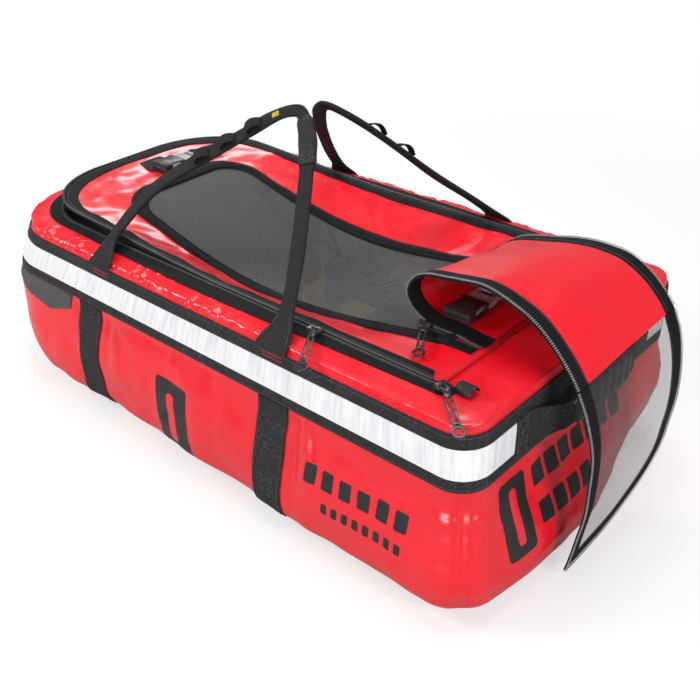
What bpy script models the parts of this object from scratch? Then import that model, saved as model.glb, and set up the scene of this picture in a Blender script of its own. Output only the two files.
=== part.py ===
# Child rescue bag: a red tarpaulin duffel with a zipped lid, a mesh window, a window flap folded
# back over one end, two long carrying slings and a harness inside.
# Metres, +Z up. X runs along the bag, with the seam of the lid towards +X. -Y is the near side.
# Shapes are laid out in the bag's own frame, whose X is zero at the middle of the band, and the
# empty bag_origin moves that frame so that the middle of the whole object's box is at the origin.

import math

import bpy
import bmesh
from mathutils import Vector

for old_object in list(bpy.data.objects):
    bpy.data.objects.remove(old_object, do_unlink=True)

# Clearances and stock thicknesses
GAP = 0.0003
STRAP_GAP = 0.0006
WALL = 0.004
WEBBING = 0.0020
TAPE_STOCK = 0.0012
SHEET = 0.0024
FLOOR_LIFT = WEBBING + STRAP_GAP

# Body of the bag, measured over the tarpaulin
BAND_LENGTH = 0.902
BAND_WIDTH = 0.437
BAND_BOTTOM = 0.170
BAND_HEIGHT = 0.074
RIM_HEIGHT = 0.262
BULGE = 0.0255
END_BULGE = 0.017
END_BOW = 0.018
LEFT_TUCK = 0.015
LEFT_CORNER = 0.100
RIGHT_CORNER = 0.036
LEFT_LEAN = 0.034
LEFT_CORNER_GROWTH = 0.026
SHOULDER_INSET = 0.0116
SHOULDER_DROP = 0.006
# The sections below the band: height, and the shares of the left tuck, the side bulge, the end
# bulge and the end bow, then the radii of the left and the right corners
LOWER_SECTIONS = (
    (FLOOR_LIFT, 4.4, -0.6, -1.0, 1.0, 0.110, 0.050),
    (0.008, 2.6, 0.2, 0.1, 1.0, 0.115, 0.050),
    (0.022, 1.6, 0.85, 0.7, 1.0, 0.115, 0.046),
    (0.050, 1.0, 1.0, 1.0, 1.0, 0.110, 0.042),
    (0.090, 0.5, 0.85, 0.7, 0.8, 0.105, 0.040),
    (0.130, 0.2, 0.42, 0.25, 0.3, 0.100, 0.038),
)
SIDE_TUCK_SHARE = 0.4

# Mouth and lid
MOUTH_WIDTH = 0.360
MOUTH_LEFT_INSET = 0.066
DECK_LENGTH = 0.066
LID_EDGE_GAP = 0.004
LID_SEAM_GAP = 0.0012
LID_LEFT_RAISE = 0.017
LID_RAISE_START = 0.05
LID_RAISE_LENGTH = 0.38
LID_SAG = 0.040
MESH_SAG = 0.012
LID_THICKNESS = 0.0030
MESH_THICKNESS = 0.0016
MOUTH_LEFT_CORNER = 0.124
MOUTH_RIGHT_CORNER = 0.012
WINDOW_LEFT = -0.240
WINDOW_RIGHT = 0.335
WINDOW_WIDTH = 0.200
WINDOW_LEFT_CORNER = 0.050
WINDOW_RIGHT_CORNER = 0.008
BINDING_WIDTH = 0.012
ZIP_TAPE_WIDTH = 0.014

# Reflective tape and vertical straps
REFLECTIVE_HEIGHT = 0.040
REFLECTIVE_END_NEAR = 0.142
REFLECTIVE_END_FAR = 0.150
STRAP_WIDTH = 0.050
STRAP_END_GAP = 0.001
STRAP_LEFT_X = -0.203
STRAP_RIGHT_X = 0.169

# Window flap, folded back: the profiles of its near and far edges as (distance back from the
# seam, height), with matching points
FLAP_WIDTH = 0.190
FLAP_TAPE_WIDTH = 0.019
FLAP_ROOT_NEAR = (
    (0.006, 0.2656), (0.022, 0.2660), (0.038, 0.2684), (0.062, 0.2690), (0.086, 0.2716),
    (0.105, 0.2830), (0.1125, 0.3000), (0.103, 0.3170), (0.083, 0.3285), (0.055, 0.3345),
    (0.033, 0.3362),
)
FLAP_ROOT_FAR = (
    (0.006, 0.2656), (0.022, 0.2660), (0.038, 0.2684), (0.060, 0.2690), (0.080, 0.2706),
    (0.094, 0.2770), (0.0985, 0.2870), (0.092, 0.2975), (0.074, 0.3060), (0.052, 0.3125),
    (0.033, 0.3170),
)
FLAP_PANEL_NEAR = (
    (0.009, 0.3370), (-0.020, 0.3310), (-0.049, 0.3190), (-0.073, 0.3000), (-0.093, 0.2780),
    (-0.108, 0.2560),
)
FLAP_PANEL_FAR = (
    (0.009, 0.3225), (-0.023, 0.3268), (-0.056, 0.3235), (-0.084, 0.3090), (-0.104, 0.2910),
    (-0.117, 0.2750),
)
TAIL_NEAR = (
    (-0.121, 0.2260), (-0.1305, 0.1900), (-0.133, 0.1500), (-0.132, 0.1100), (-0.126, 0.0650),
    (-0.117, 0.0130),
)
TAIL_FAR = (
    (-0.129, 0.2460), (-0.1365, 0.2040), (-0.137, 0.1580), (-0.132, 0.1130), (-0.126, 0.0650),
    (-0.117, 0.0130),
)
TAIL_CURVE_START = 0.60
TAIL_CURVE_ANGLES = (0, 15, 30, 45, 60, 75, 90)
TAIL_FILM_END = 0.918
TAIL_FILM_TIP = (0.11, 0.975)
TAIL_ROW_CLEARANCE = 0.02
FLAP_STEPS = 3

# Carrying slings: (distance along the bag, distance up the slope from the band)
SLING_WIDTH = 0.025
SLING_BASE_WIDTH = 0.036
SLING_TOP_WIDTH = 0.015
SLING_THICKNESS = 0.005
SLING_RIM_CLEARANCE = 0.0197
SLING_TOP_START = 0.86
SLING_STEPS = 3
NEAR_SLING_ROUTE = (
    (-0.156, 0.0), (-0.156, 0.050), (-0.135, 0.115), (-0.102, 0.159), (-0.053, 0.206),
    (-0.028, 0.230), (0.006, 0.264), (0.032, 0.279), (0.052, 0.276), (0.083, 0.240),
    (0.115, 0.180), (0.143, 0.122), (0.166, 0.068), (0.176, 0.030), (0.176, 0.0),
)
FAR_SLING_ROUTE = (
    (-0.112, 0.0), (-0.098, 0.048), (-0.081, 0.093), (-0.050, 0.155), (-0.022, 0.203),
    (0.012, 0.250), (0.040, 0.271), (0.063, 0.259), (0.084, 0.231), (0.105, 0.184),
    (0.129, 0.118), (0.166, 0.060), (0.183, 0.020), (0.186, 0.0),
)
WRAP_FIRST = 0.56
WRAP_LAST = 0.66
WRAP_WALL = 0.0025

# Base, pad and harness
BOARD_THICKNESS = 0.003
BOARD_MARGIN = 0.020
PAD_THICKNESS = 0.038
PAD_MARGIN = 0.012
# The pad's sections from its base up: how far each reaches past the margin, and its share of the
# thickness
PAD_SECTIONS = ((-0.008, 0.0), (0.0, 0.25), (0.0, 0.6), (-0.010, 0.85), (-0.040, 0.96), (-0.110, 1.0))
HARNESS_WEBBING = 0.038
HARNESS_BUCKLE_X = 0.010
HARNESS_PAD_HALF = 0.045
HARNESS_PAD_THICKNESS = 0.006
HARNESS_PAD_ROUNDING = 0.002
SHOULDER_STRAP_START = (-0.260, 0.070)
SHOULDER_STRAP_SPREAD = 0.024
SHOULDER_STRAP_CLEARANCE = 0.008
WAIST_STRAP_REACH = 0.130
CROTCH_STRAP_REACH = 0.190

# Side-release buckles
BUCKLE_WIDTH = 0.036
BUCKLE_HEIGHT = 0.011
BUCKLE_FEMALE_LENGTH = 0.038
BUCKLE_POCKET_DEPTH = 0.029
BUCKLE_WALL = 0.002
BUCKLE_GRIP_LENGTH = 0.020
BUCKLE_LADDER_LENGTH = 0.020
BUCKLE_PRONG_LENGTH = 0.026
BUCKLE_CLEARANCE = 0.0005
BUCKLE_ARM = 0.0035
BUCKLE_ARM_TAPER = 0.008
BUCKLE_GUIDE = 0.003
BUCKLE_GUIDE_SHORTER = 0.004
BUCKLE_GRIP_STRAIGHT = 0.012
BUCKLE_WAIST = 0.002
BUCKLE_SLOT = 0.0055
BUCKLE_SLOT_PITCH = 0.009
BUCKLE_SLOT_START = 0.002
BUCKLE_SLOT_MARGIN = 0.005
BUCKLE_WEBBING_MARGIN = 0.0055
BUCKLE_TAIL_LENGTH = 0.040

# Zip sliders and pull tabs
SLIDER_LENGTH = 0.018
SLIDER_WIDTH = 0.011
SLIDER_HEIGHT = 0.006
PULL_LENGTH = 0.058
PULL_NECK = 0.0032
PULL_THICKNESS = 0.0020
PULL_RING = 0.0075
PULL_HOLE = 0.0045
PULL_CLEARANCE = 0.0006
PULL_RING_STEPS = 12
SLIDER_ROUNDING = 0.0012
SLIDER_OVERLAP = 0.001

# Arched tabs over the ends of the lid's zip
ZIP_TAB_X = 0.410
ZIP_TAB_INSET = 0.004
ZIP_TAB_SPAN = 0.014
ZIP_TAB_RISE = 0.006
ZIP_TAB_WIDTH = 0.020
ZIP_TAB_STEPS = 4

# End handle
HANDLE_REACH = 0.142
HANDLE_TAB = 0.024
HANDLE_WIDTH = 0.046
HANDLE_BOW = 0.019
HANDLE_GRIP_HALF = 0.072
HANDLE_GRIP_WALL = 0.003
HANDLE_RIBS = 7
HANDLE_NARROWING = 0.25
HANDLE_NARROWING_LENGTH = 0.04
HANDLE_CROWN = 0.002
HANDLE_FOOT = 0.012
HANDLE_FOOT_RISE = 0.004
HANDLE_SHOULDER = 0.006
HANDLE_SHOULDER_DROP = 0.003
HANDLE_BEND = 0.004
HANDLE_STEPS = 4
GRIP_END_MARGIN = 0.010
GRIP_RIB_BULGE = 0.0012
GRIP_BACK = 0.001

# Vent patch near the left corner
VENT_POINT_X = -0.305
VENT_RIGHT = -0.250
VENT_LIFT = 0.0008
VENT_TOP_SHARE = 0.04
VENT_CORNER_ANGLES = (30, 15, 0)
VENT_DEPTHS = (0.35, 0.55, 0.75, 0.92, 0.55)
VENT_LOWEST_LEVEL = 0.1

# Number of points round the bag's outline
END_STEPS = 3
CORNER_STEPS = 6
SIDE_STEPS = 10

# Sizes that follow from the ones above
HALF_LENGTH = BAND_LENGTH / 2
HALF_WIDTH = BAND_WIDTH / 2
BAND_TOP = BAND_BOTTOM + BAND_HEIGHT
BAND_OUTER = GAP + WEBBING
REFLECTIVE_OUTER = BAND_OUTER + GAP + TAPE_STOCK
SEAM_X = HALF_LENGTH - DECK_LENGTH
MOUTH_LEFT = -HALF_LENGTH + MOUTH_LEFT_INSET
HINGE_HEIGHT = RIM_HEIGHT + LID_THICKNESS / 2
TAIL_REACH = SEAM_X - min(x for x, _ in TAIL_FAR) + SHEET / 2
FRAME_X = (TAIL_REACH - HALF_LENGTH - BAND_OUTER) / 2

UP = Vector((0, 0, 1))
ALONG = Vector((1, 0, 0))
ACROSS = Vector((0, 1, 0))


# Materials
FINISHES = {
    "red_tarpaulin": ((0.80, 0.010, 0.022), 0.30, 0.0),
    "black_webbing": ((0.022, 0.022, 0.024), 0.80, 0.0),
    "black_zip_tape": ((0.018, 0.018, 0.020), 0.75, 0.0),
    "reflective_tape": ((0.86, 0.87, 0.90), 0.35, 0.0),
    "grey_mesh": ((0.060, 0.060, 0.064), 0.75, 0.0),
    "clear_film": ((0.72, 0.73, 0.74), 0.10, 0.0),
    "black_plastic": ((0.020, 0.020, 0.022), 0.40, 0.0),
    "grey_plastic": ((0.42, 0.45, 0.48), 0.40, 0.0),
    "zip_metal": ((0.030, 0.030, 0.032), 0.30, 0.8),
    "khaki_webbing": ((0.160, 0.120, 0.050), 0.80, 0.0),
    "dark_lining": ((0.050, 0.050, 0.055), 0.85, 0.0),
    "base_sheet": ((0.30, 0.30, 0.31), 0.60, 0.0),
}


def make_finish(name):
    colour, roughness, metallic = FINISHES[name]
    finish = bpy.data.materials.new(name)
    finish.use_nodes = True
    shader = finish.node_tree.nodes["Principled BSDF"]
    shader.inputs["Base Color"].default_value = (*colour, 1.0)
    shader.inputs["Roughness"].default_value = roughness
    shader.inputs["Metallic"].default_value = metallic
    finish.diffuse_color = (*colour, 1.0)
    return finish


finishes = {name: make_finish(name) for name in FINISHES}


# Bodies: one empty for each, on its joint's axis
def make_body(name, position, parent=None):
    empty = bpy.data.objects.new(name, None)
    bpy.context.scene.collection.objects.link(empty)
    empty.empty_display_size = 0.02
    if parent is None:
        empty.location = position
    else:
        empty.parent = parent[0]
        empty.location = Vector(position) - Vector(parent[1])
    return empty, Vector(position) if parent else Vector((0, 0, 0))


bag_body = make_body("bag_origin", (-FRAME_X, 0, 0))


def add_piece(name, shape, finish, body):
    """A piece from its points and faces in the bag's frame, with its origin on its body's axis."""
    points, faces = shape
    pivot = body[1]
    mesh = bpy.data.meshes.new(name)
    mesh.from_pydata([Vector(point) - pivot for point in points], [], faces)
    work = bmesh.new()
    work.from_mesh(mesh)
    bmesh.ops.recalc_face_normals(work, faces=work.faces)
    work.to_mesh(mesh)
    work.free()
    piece = bpy.data.objects.new(name, mesh)
    bpy.context.scene.collection.objects.link(piece)
    piece.parent = body[0]
    piece.data.materials.append(finishes[finish])
    return piece


def round_edges(piece, width, segments=1):
    bevel = piece.modifiers.new("rounded_edges", "BEVEL")
    bevel.width = width
    bevel.segments = segments
    bevel.limit_method = "ANGLE"


def cut_with(piece, shape, name, body):
    """Cuts a hidden helper's shape out of a piece."""
    cutter = add_piece(name, shape, "black_plastic", body)
    cutter.hide_render = True
    cutter.display_type = "WIRE"
    cut = piece.modifiers.new(name, "BOOLEAN")
    cut.operation = "DIFFERENCE"
    cut.object = cutter


# Shape builders: each gives points and faces
def loft(rings, closed=False):
    """A skin through rings of matching points, with its ends capped unless it runs round."""
    count = len(rings[0])
    points = [point for ring in rings for point in ring]
    faces = []
    last = len(rings) if closed else len(rings) - 1
    for row in range(last):
        here = row * count
        there = (row + 1) % len(rings) * count
        for i in range(count):
            j = (i + 1) % count
            faces.append((here + i, here + j, there + j, there + i))
    if not closed:
        faces.append(tuple(range(count)))
        faces.append(tuple(reversed(range(len(points) - count, len(points)))))
    return points, faces


def strip(stations, closed=False):
    """A flat strap through stations of (inner face centre, across, out, width, thickness)."""
    rings = []
    for centre, across, out, width, thickness in stations:
        side = across.normalized() * (width / 2)
        rise = out.normalized() * thickness
        rings.append([centre - side, centre + side, centre + side + rise, centre - side + rise])
    return loft(rings, closed)


def sleeve(stations, clearance, wall):
    """A tube of four walls round a strap given by the same stations as strip takes."""
    outer, inner = [], []
    for centre, across, out, width, thickness in stations:
        middle = centre + out.normalized() * (thickness / 2)
        for rings, extra in ((inner, clearance), (outer, clearance + wall)):
            side = across.normalized() * (width / 2 + extra)
            rise = out.normalized() * (thickness / 2 + extra)
            rings.append([middle - side - rise, middle + side - rise, middle + side + rise,
                          middle - side + rise])
    return loft(outer + list(reversed(inner)), closed=True)


def block(low, high):
    """A box from its lowest and highest corners."""
    (x0, y0, z0), (x1, y1, z1) = low, high
    return loft([[Vector((x, y0, z0)), Vector((x, y1, z0)), Vector((x, y1, z1)), Vector((x, y0, z1))]
                 for x in (x0, x1)])


def extruded(outline, z0, z1):
    """A flat plate from an outline in the XY plane."""
    return loft([[Vector((x, y, z)) for x, y in outline] for z in (z0, z1)])


def turned_shape(shape, place):
    """The same shape with each point moved by a function."""
    points, faces = shape
    return [place(Vector(point)) for point in points], faces


def smooth_route(route, steps):
    """Points on a Catmull-Rom curve through the route's points."""
    points = [Vector(point) for point in route]
    padded = [2 * points[0] - points[1], *points, 2 * points[-1] - points[-2]]
    found = []
    for before, start, end, after in zip(padded, padded[1:], padded[2:], padded[3:]):
        for step in range(steps):
            t = step / steps
            found.append(0.5 * (2 * start + (end - before) * t
                                + (2 * before - 5 * start + 4 * end - after) * t ** 2
                                + (3 * start - before - 3 * end + after) * t ** 3))
    return found + [points[-1]]


def offset_line(points, distance):
    """A plane line moved sideways to its left, with mitred corners."""
    moved = []
    for i, point in enumerate(points):
        sides = []
        for start, end in ((i - 1, i), (i, i + 1)):
            if 0 <= start and end < len(points):
                run = (points[end] - points[start]).normalized()
                sides.append(Vector((-run.y, run.x)))
        middle = sum(sides, Vector((0, 0))).normalized()
        moved.append(point + middle * (distance / middle.dot(sides[0])))
    return moved


def arc(centre, radius, first, last, steps):
    """Points on an arc, from one angle in degrees to another."""
    return [(centre[0] + radius * math.cos(math.radians(first + (last - first) * i / steps)),
             centre[1] + radius * math.sin(math.radians(first + (last - first) * i / steps)))
            for i in range(steps + 1)]


# The bag's outline at one height
class Level:
    """One section of the body: how far it reaches each way and how round its corners are."""

    def __init__(self, z, left, right, half_left, half_right, corner_left, corner_right, bow=0.0):
        self.z = z
        self.left = left
        self.right = right
        self.half_left = half_left
        self.half_right = half_right
        self.corner_left = corner_left
        self.corner_right = corner_right
        self.bow = bow

    def grown(self, offset, rise=0.0):
        return Level(self.z + rise, self.left - offset, self.right + offset,
                     self.half_left + offset, self.half_right + offset,
                     max(self.corner_left + offset, 0.001),
                     max(self.corner_right + offset, 0.001), self.bow)

    def half_at(self, x):
        """Half the width of the straight side at one place along the bag."""
        start = self.left + self.corner_left
        end = self.right - self.corner_right
        share = (x - start) / (end - start)
        return self.half_left + (self.half_right - self.half_left) * share

    def outline(self):
        """Points anticlockwise from the middle of the right end."""
        def line(start, end, steps):
            return [(start[0] + (end[0] - start[0]) * i / steps,
                     start[1] + (end[1] - start[1]) * i / steps) for i in range(steps)]

        right_in = self.right - self.corner_right
        left_in = self.left + self.corner_left
        right_y = self.half_right - self.corner_right
        left_y = self.half_left - self.corner_left
        points = line((self.right, 0), (self.right, right_y), END_STEPS)
        points += arc((right_in, right_y), self.corner_right, 0, 90, CORNER_STEPS)[:-1]
        points += line((right_in, self.half_right), (left_in, self.half_left), SIDE_STEPS)
        points += arc((left_in, left_y), self.corner_left, 90, 180, CORNER_STEPS)[:-1]
        points += line((self.left, left_y), (self.left, -left_y), 2 * END_STEPS)
        points += arc((left_in, -left_y), self.corner_left, 180, 270, CORNER_STEPS)[:-1]
        points += line((left_in, -self.half_left), (right_in, -self.half_right), SIDE_STEPS)
        points += arc((right_in, -right_y), self.corner_right, 270, 360, CORNER_STEPS)[:-1]
        points += line((self.right, -right_y), (self.right, 0), END_STEPS)
        return [self.bowed(x, y) for x, y in points]

    def bowed(self, x, y):
        """The end panels swell towards their middle."""
        share = max(0.0, 1 - (y / self.half_right) ** 2)
        reach = max(0.0, (abs(x) - abs(self.right) / 2) / (abs(self.right) / 2))
        return Vector((x + self.bow * share * reach * (1 if x > 0 else 0), y, self.z))


def body_level(z, tuck_share, bulge_share, end_share, bow_share, corner_left, corner_right):
    """A section of the tub: tucked in at the left end, bulged at the sides and the right end."""
    tuck = tuck_share * LEFT_TUCK
    half = HALF_WIDTH + bulge_share * BULGE
    return Level(z, -HALF_LENGTH + tuck, HALF_LENGTH + end_share * END_BULGE,
                 half - tuck * SIDE_TUCK_SHARE, half, corner_left, corner_right, bow_share * END_BOW)


def band_level(z):
    """A section at the band, where the left end leans in towards the top."""
    share = (z - BAND_BOTTOM) / BAND_HEIGHT
    return Level(z, -HALF_LENGTH + LEFT_LEAN * share, HALF_LENGTH, HALF_WIDTH, HALF_WIDTH,
                 LEFT_CORNER + LEFT_CORNER_GROWTH * share, RIGHT_CORNER)


MOUTH_LEVEL = Level(RIM_HEIGHT, MOUTH_LEFT, SEAM_X, MOUTH_WIDTH / 2, MOUTH_WIDTH / 2,
                    MOUTH_LEFT_CORNER, MOUTH_RIGHT_CORNER)
SHOULDER_LEVEL = band_level(BAND_TOP).grown(-SHOULDER_INSET,
                                            RIM_HEIGHT - SHOULDER_DROP - BAND_TOP)


def tub_levels():
    """The outer sections from the flat base to the rim of the mouth."""
    low = [body_level(*section) for section in LOWER_SECTIONS]
    upright = [band_level(BAND_BOTTOM), band_level(BAND_TOP)]
    return low + upright + [SHOULDER_LEVEL, MOUTH_LEVEL]


def inward(levels):
    """Each section moved in by the wall's thickness, square to the side's slope."""
    line = [Vector((0, levels[0].z))] + [Vector((level.half_right, level.z)) for level in levels]
    moved = offset_line(line, WALL)
    return [level.grown(point.x - level.half_right, point.y - level.z)
            for level, point in zip(levels, moved[1:])]


def tub_shell():
    levels = tub_levels()
    rings = [level.outline() for level in levels]
    rings += [level.outline() for level in reversed(inward(levels))]
    return loft(rings)


add_piece("tub_shell", tub_shell(), "red_tarpaulin", bag_body)


# Band, reflective tape and the straps under the bag
def end_gap(points, x):
    """A line round the bag without the middle of the right end, where the tape is left out."""
    z = points[0].z
    return ([Vector((x, REFLECTIVE_END_FAR, z))] + points[END_STEPS:-END_STEPS + 1]
            + [Vector((x, -REFLECTIVE_END_NEAR, z))])


def wrapped(z0, z1, inner, outer, closed):
    """A flat band round the bag between two heights."""
    lines = []
    for z, offset in ((z0, inner), (z0, outer), (z1, outer), (z1, inner)):
        level = band_level(z).grown(offset)
        points = level.outline()
        lines.append(points if closed else end_gap(points, level.right))
    return loft([list(ring) for ring in zip(*lines)], closed)


def band_webbing():
    return wrapped(BAND_BOTTOM, BAND_TOP, GAP, BAND_OUTER, True)


def reflective_tape():
    low = BAND_BOTTOM + (BAND_HEIGHT - REFLECTIVE_HEIGHT) / 2
    return wrapped(low, low + REFLECTIVE_HEIGHT, BAND_OUTER + GAP, REFLECTIVE_OUTER, False)


def under_strap(x):
    """A strap from the band down one side, under the base and up the other side."""
    levels = [level for level in tub_levels() if level.z <= BAND_BOTTOM]
    near = [Vector((-level.half_at(x), level.z)) for level in reversed(levels)]
    far = [Vector((-point.x, point.y)) for point in reversed(near)]
    line = near + far
    line[0].y = line[-1].y = BAND_BOTTOM - STRAP_END_GAP
    inner = offset_line(line, -STRAP_GAP)
    outer = offset_line(line, -STRAP_GAP - WEBBING)
    low, high = x - STRAP_WIDTH / 2, x + STRAP_WIDTH / 2
    rings = [[Vector((low, a.x, a.y)), Vector((high, a.x, a.y)), Vector((high, b.x, b.y)),
              Vector((low, b.x, b.y))] for a, b in zip(inner, outer)]
    return loft(rings)


add_piece("band_webbing", band_webbing(), "black_webbing", bag_body)
add_piece("reflective_tape", reflective_tape(), "reflective_tape", bag_body)
add_piece("under_strap_left", under_strap(STRAP_LEFT_X), "black_webbing", bag_body)
add_piece("under_strap_right", under_strap(STRAP_RIGHT_X), "black_webbing", bag_body)


# Lid: a flat frame with a mesh window, sagging in the middle and raised at its open left end
def smooth_step(share):
    share = min(1.0, max(0.0, share))
    return share * share * (3 - 2 * share)


def lid_edge_height(x):
    raised = smooth_step((LID_RAISE_START - x) / LID_RAISE_LENGTH)
    return RIM_HEIGHT + LID_THICKNESS / 2 + LID_LEFT_RAISE * raised


def lid_sag(x):
    share = (x - WINDOW_LEFT) / (WINDOW_RIGHT - WINDOW_LEFT)
    return LID_SAG * math.sin(math.pi * share) if 0 < share < 1 else 0.0


LID_LEVEL = Level(0.0, MOUTH_LEFT + LID_EDGE_GAP, SEAM_X - LID_SEAM_GAP, MOUTH_WIDTH / 2 - LID_EDGE_GAP,
                  MOUTH_WIDTH / 2 - LID_EDGE_GAP, MOUTH_LEFT_CORNER - LID_EDGE_GAP,
                  MOUTH_RIGHT_CORNER)
WINDOW_LEVEL = Level(0.0, WINDOW_LEFT, WINDOW_RIGHT, WINDOW_WIDTH / 2, WINDOW_WIDTH / 2,
                     WINDOW_LEFT_CORNER, WINDOW_RIGHT_CORNER)
FRAME_WIDTH = LID_LEVEL.half_right - WINDOW_LEVEL.half_right
ZIP_SHARE = ZIP_TAPE_WIDTH / FRAME_WIDTH
BINDING_SHARE = 1 - BINDING_WIDTH / FRAME_WIDTH
FRAME_SHARES = (0.0, ZIP_SHARE, 0.4, 0.62, BINDING_SHARE, 1.0)
MESH_ROWS = (1.0, 0.8, 0.55, 0.3, 0.12)


def frame_surface(share):
    """One ring of the lid's top face, from its outer edge, 0, to the window's edge, 1."""
    ring = []
    for outer, inner in zip(LID_LEVEL.outline(), WINDOW_LEVEL.outline()):
        point = outer.lerp(inner, share)
        drop = lid_sag(inner.x) * smooth_step(share)
        ring.append(Vector((point.x, point.y, lid_edge_height(point.x) - drop)))
    return ring


def lowered(ring, depth):
    return [point - UP * depth for point in ring]


def lid_frame():
    top = [frame_surface(share) for share in FRAME_SHARES]
    under = [lowered(ring, LID_THICKNESS) for ring in reversed(top)]
    return loft(top + under, closed=True)


def mesh_window():
    """The mesh fills the window and hangs a little lower in its middle."""
    middle = Vector(((WINDOW_LEFT + WINDOW_RIGHT) / 2, 0, 0))
    edge = WINDOW_LEVEL.grown(-GAP).outline()
    top = []
    for share in MESH_ROWS:
        ring = []
        for point in edge:
            x = middle.x + (point.x - middle.x) * share
            y = point.y * share
            sag = lid_sag(point.x) * smooth_step(share) + lid_sag(x) * (1 - smooth_step(share))
            height = lid_edge_height(x) - sag - MESH_SAG * (1 - share ** 2)
            ring.append(Vector((x, y, height - (LID_THICKNESS - MESH_THICKNESS) / 2)))
        top.append(ring)
    under = [lowered(ring, MESH_THICKNESS) for ring in top]
    return loft(list(reversed(under)) + top)


def raised_band(ring_a, ring_b, thickness, closed):
    """A flat band between two lines on a surface, lifted clear of it."""
    low, high = UP * STRAP_GAP, UP * (STRAP_GAP + thickness)
    rings = [[a + low, b + low, b + high, a + high] for a, b in zip(ring_a, ring_b)]
    return loft(rings, closed)


def open_sides(ring, first):
    """The part of an outline along the two long sides and the left end, from one of its points."""
    return ring[first:len(ring) - first + 1]


def share_of_width(start, end, distance):
    """How large a share a distance is of the way from one line to another."""
    return distance / (end - start).length


def lid_zip_tape():
    edge = frame_surface(GAP / FRAME_WIDTH)
    inner = frame_surface(ZIP_SHARE)
    first = END_STEPS + CORNER_STEPS
    return raised_band(open_sides(edge, first), open_sides(inner, first), WEBBING, False)


def body_zip_tape():
    """The bag's half of the zip lies on the shoulder, along the mouth and round its right corners."""
    mouth = MOUTH_LEVEL.outline()
    shoulder = SHOULDER_LEVEL.outline()
    edge, outer = [], []
    for a, b in zip(mouth, shoulder):
        edge.append(a.lerp(b, share_of_width(a, b, GAP)))
        outer.append(a.lerp(b, share_of_width(a, b, ZIP_TAPE_WIDTH)))
    return raised_band(open_sides(edge, END_STEPS), open_sides(outer, END_STEPS), WEBBING, False)


def window_binding():
    return raised_band(frame_surface(BINDING_SHARE), frame_surface(1.0), WEBBING, True)


lid_body = make_body("lid_axis", (SEAM_X, 0, HINGE_HEIGHT), bag_body)
add_piece("lid_frame", lid_frame(), "red_tarpaulin", lid_body)
add_piece("mesh_window", mesh_window(), "grey_mesh", lid_body)
add_piece("window_binding", window_binding(), "black_zip_tape", lid_body)
add_piece("lid_zip_tape", lid_zip_tape(), "black_zip_tape", lid_body)
add_piece("body_zip_tape", body_zip_tape(), "black_zip_tape", bag_body)


# Window flap: a root on the lid, a panel over the end and a clear tail that hangs down
class RuledSheet:
    """A sheet stretched between the profiles of the flap's near and far edges."""

    def __init__(self, near, far, steps):
        self.edges = []
        for profile in (near, far):
            line = [Vector((SEAM_X - point.x, point.y)) for point in smooth_route(profile, steps)]
            self.edges.append([offset_line(line, height) for height in (-SHEET / 2, SHEET / 2)])
        self.count = len(self.edges[0][0])

    def place(self, share, y, side):
        """A point at a share of the way along, on the outer face, 0, or the inner one, 1."""
        along = min(max(share, 0.0), 1.0) * (self.count - 1)
        row = min(int(along), self.count - 2)
        ends = [edge[side][row].lerp(edge[side][row + 1], along - row) for edge in self.edges]
        point = ends[0].lerp(ends[1], (y + FLAP_HALF) / FLAP_WIDTH)
        return Vector((point.x, y, point.y))

    def ring(self, near, far):
        """A section between two places, each as (share, y)."""
        return [self.place(*near, 0), self.place(*far, 0), self.place(*far, 1), self.place(*near, 1)]

    def strip_between(self, low, high):
        """The part of the sheet between two distances across."""
        shares = [row / (self.count - 1) for row in range(self.count)]
        return loft([self.ring((share, low), (share, high)) for share in shares])


FLAP_HALF = FLAP_WIDTH / 2
FLAP_CLEAR_HALF = FLAP_HALF - FLAP_TAPE_WIDTH
FOLD_X = SEAM_X - FLAP_ROOT_NEAR[-1][0] + GAP / 2
FOLD_HEIGHT = FLAP_ROOT_NEAR[-1][1] + SHEET / 2


def after(profile, end):
    """A profile that carries on from an end, with a small gap before it."""
    start, towards = Vector(end), Vector(profile[0])
    return (tuple(start + (towards - start).normalized() * GAP), *profile)


def add_flap_sheets(prefix, sheet, body):
    """A tarpaulin sheet with a zip tape along each edge."""
    near_tape = (-FLAP_HALF, -FLAP_CLEAR_HALF - GAP / 2)
    middle = (-FLAP_CLEAR_HALF + GAP / 2, FLAP_CLEAR_HALF - GAP / 2)
    far_tape = (FLAP_CLEAR_HALF + GAP / 2, FLAP_HALF)
    for name, finish, (low, high) in (
            (prefix, "red_tarpaulin", middle),
            (prefix + "_tape_near", "black_zip_tape", near_tape),
            (prefix + "_tape_far", "black_zip_tape", far_tape)):
        add_piece(name, sheet.strip_between(low, high), finish, body)


def tail_shares(sheet):
    """Shares down the tail at the sheet's own rows, as far as the start of the curve."""
    rows = [row / (sheet.count - 1) for row in range(sheet.count)]
    return [share for share in rows if share < TAIL_CURVE_START - TAIL_ROW_CLEARANCE] + [TAIL_CURVE_START]


def tail_curve(cosine, sine, half, end_share):
    """A place on the tail's curved end, as (share, y)."""
    return TAIL_CURVE_START + (end_share - TAIL_CURVE_START) * sine, -half + 2 * half * cosine


def clear_tail(sheet):
    """The clear film, square at the near edge and curved at the far one."""
    half = FLAP_CLEAR_HALF - GAP
    rings = [sheet.ring((share, -half), (share, half)) for share in tail_shares(sheet)]
    turns = [(math.cos(math.radians(angle)), math.sin(math.radians(angle)))
             for angle in TAIL_CURVE_ANGLES[1:-1]] + [TAIL_FILM_TIP]
    for cosine, sine in turns:
        share, y = tail_curve(cosine, sine, half, TAIL_FILM_END)
        rings.append(sheet.ring((share, -half), (share, y)))
    return loft(rings)


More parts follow.
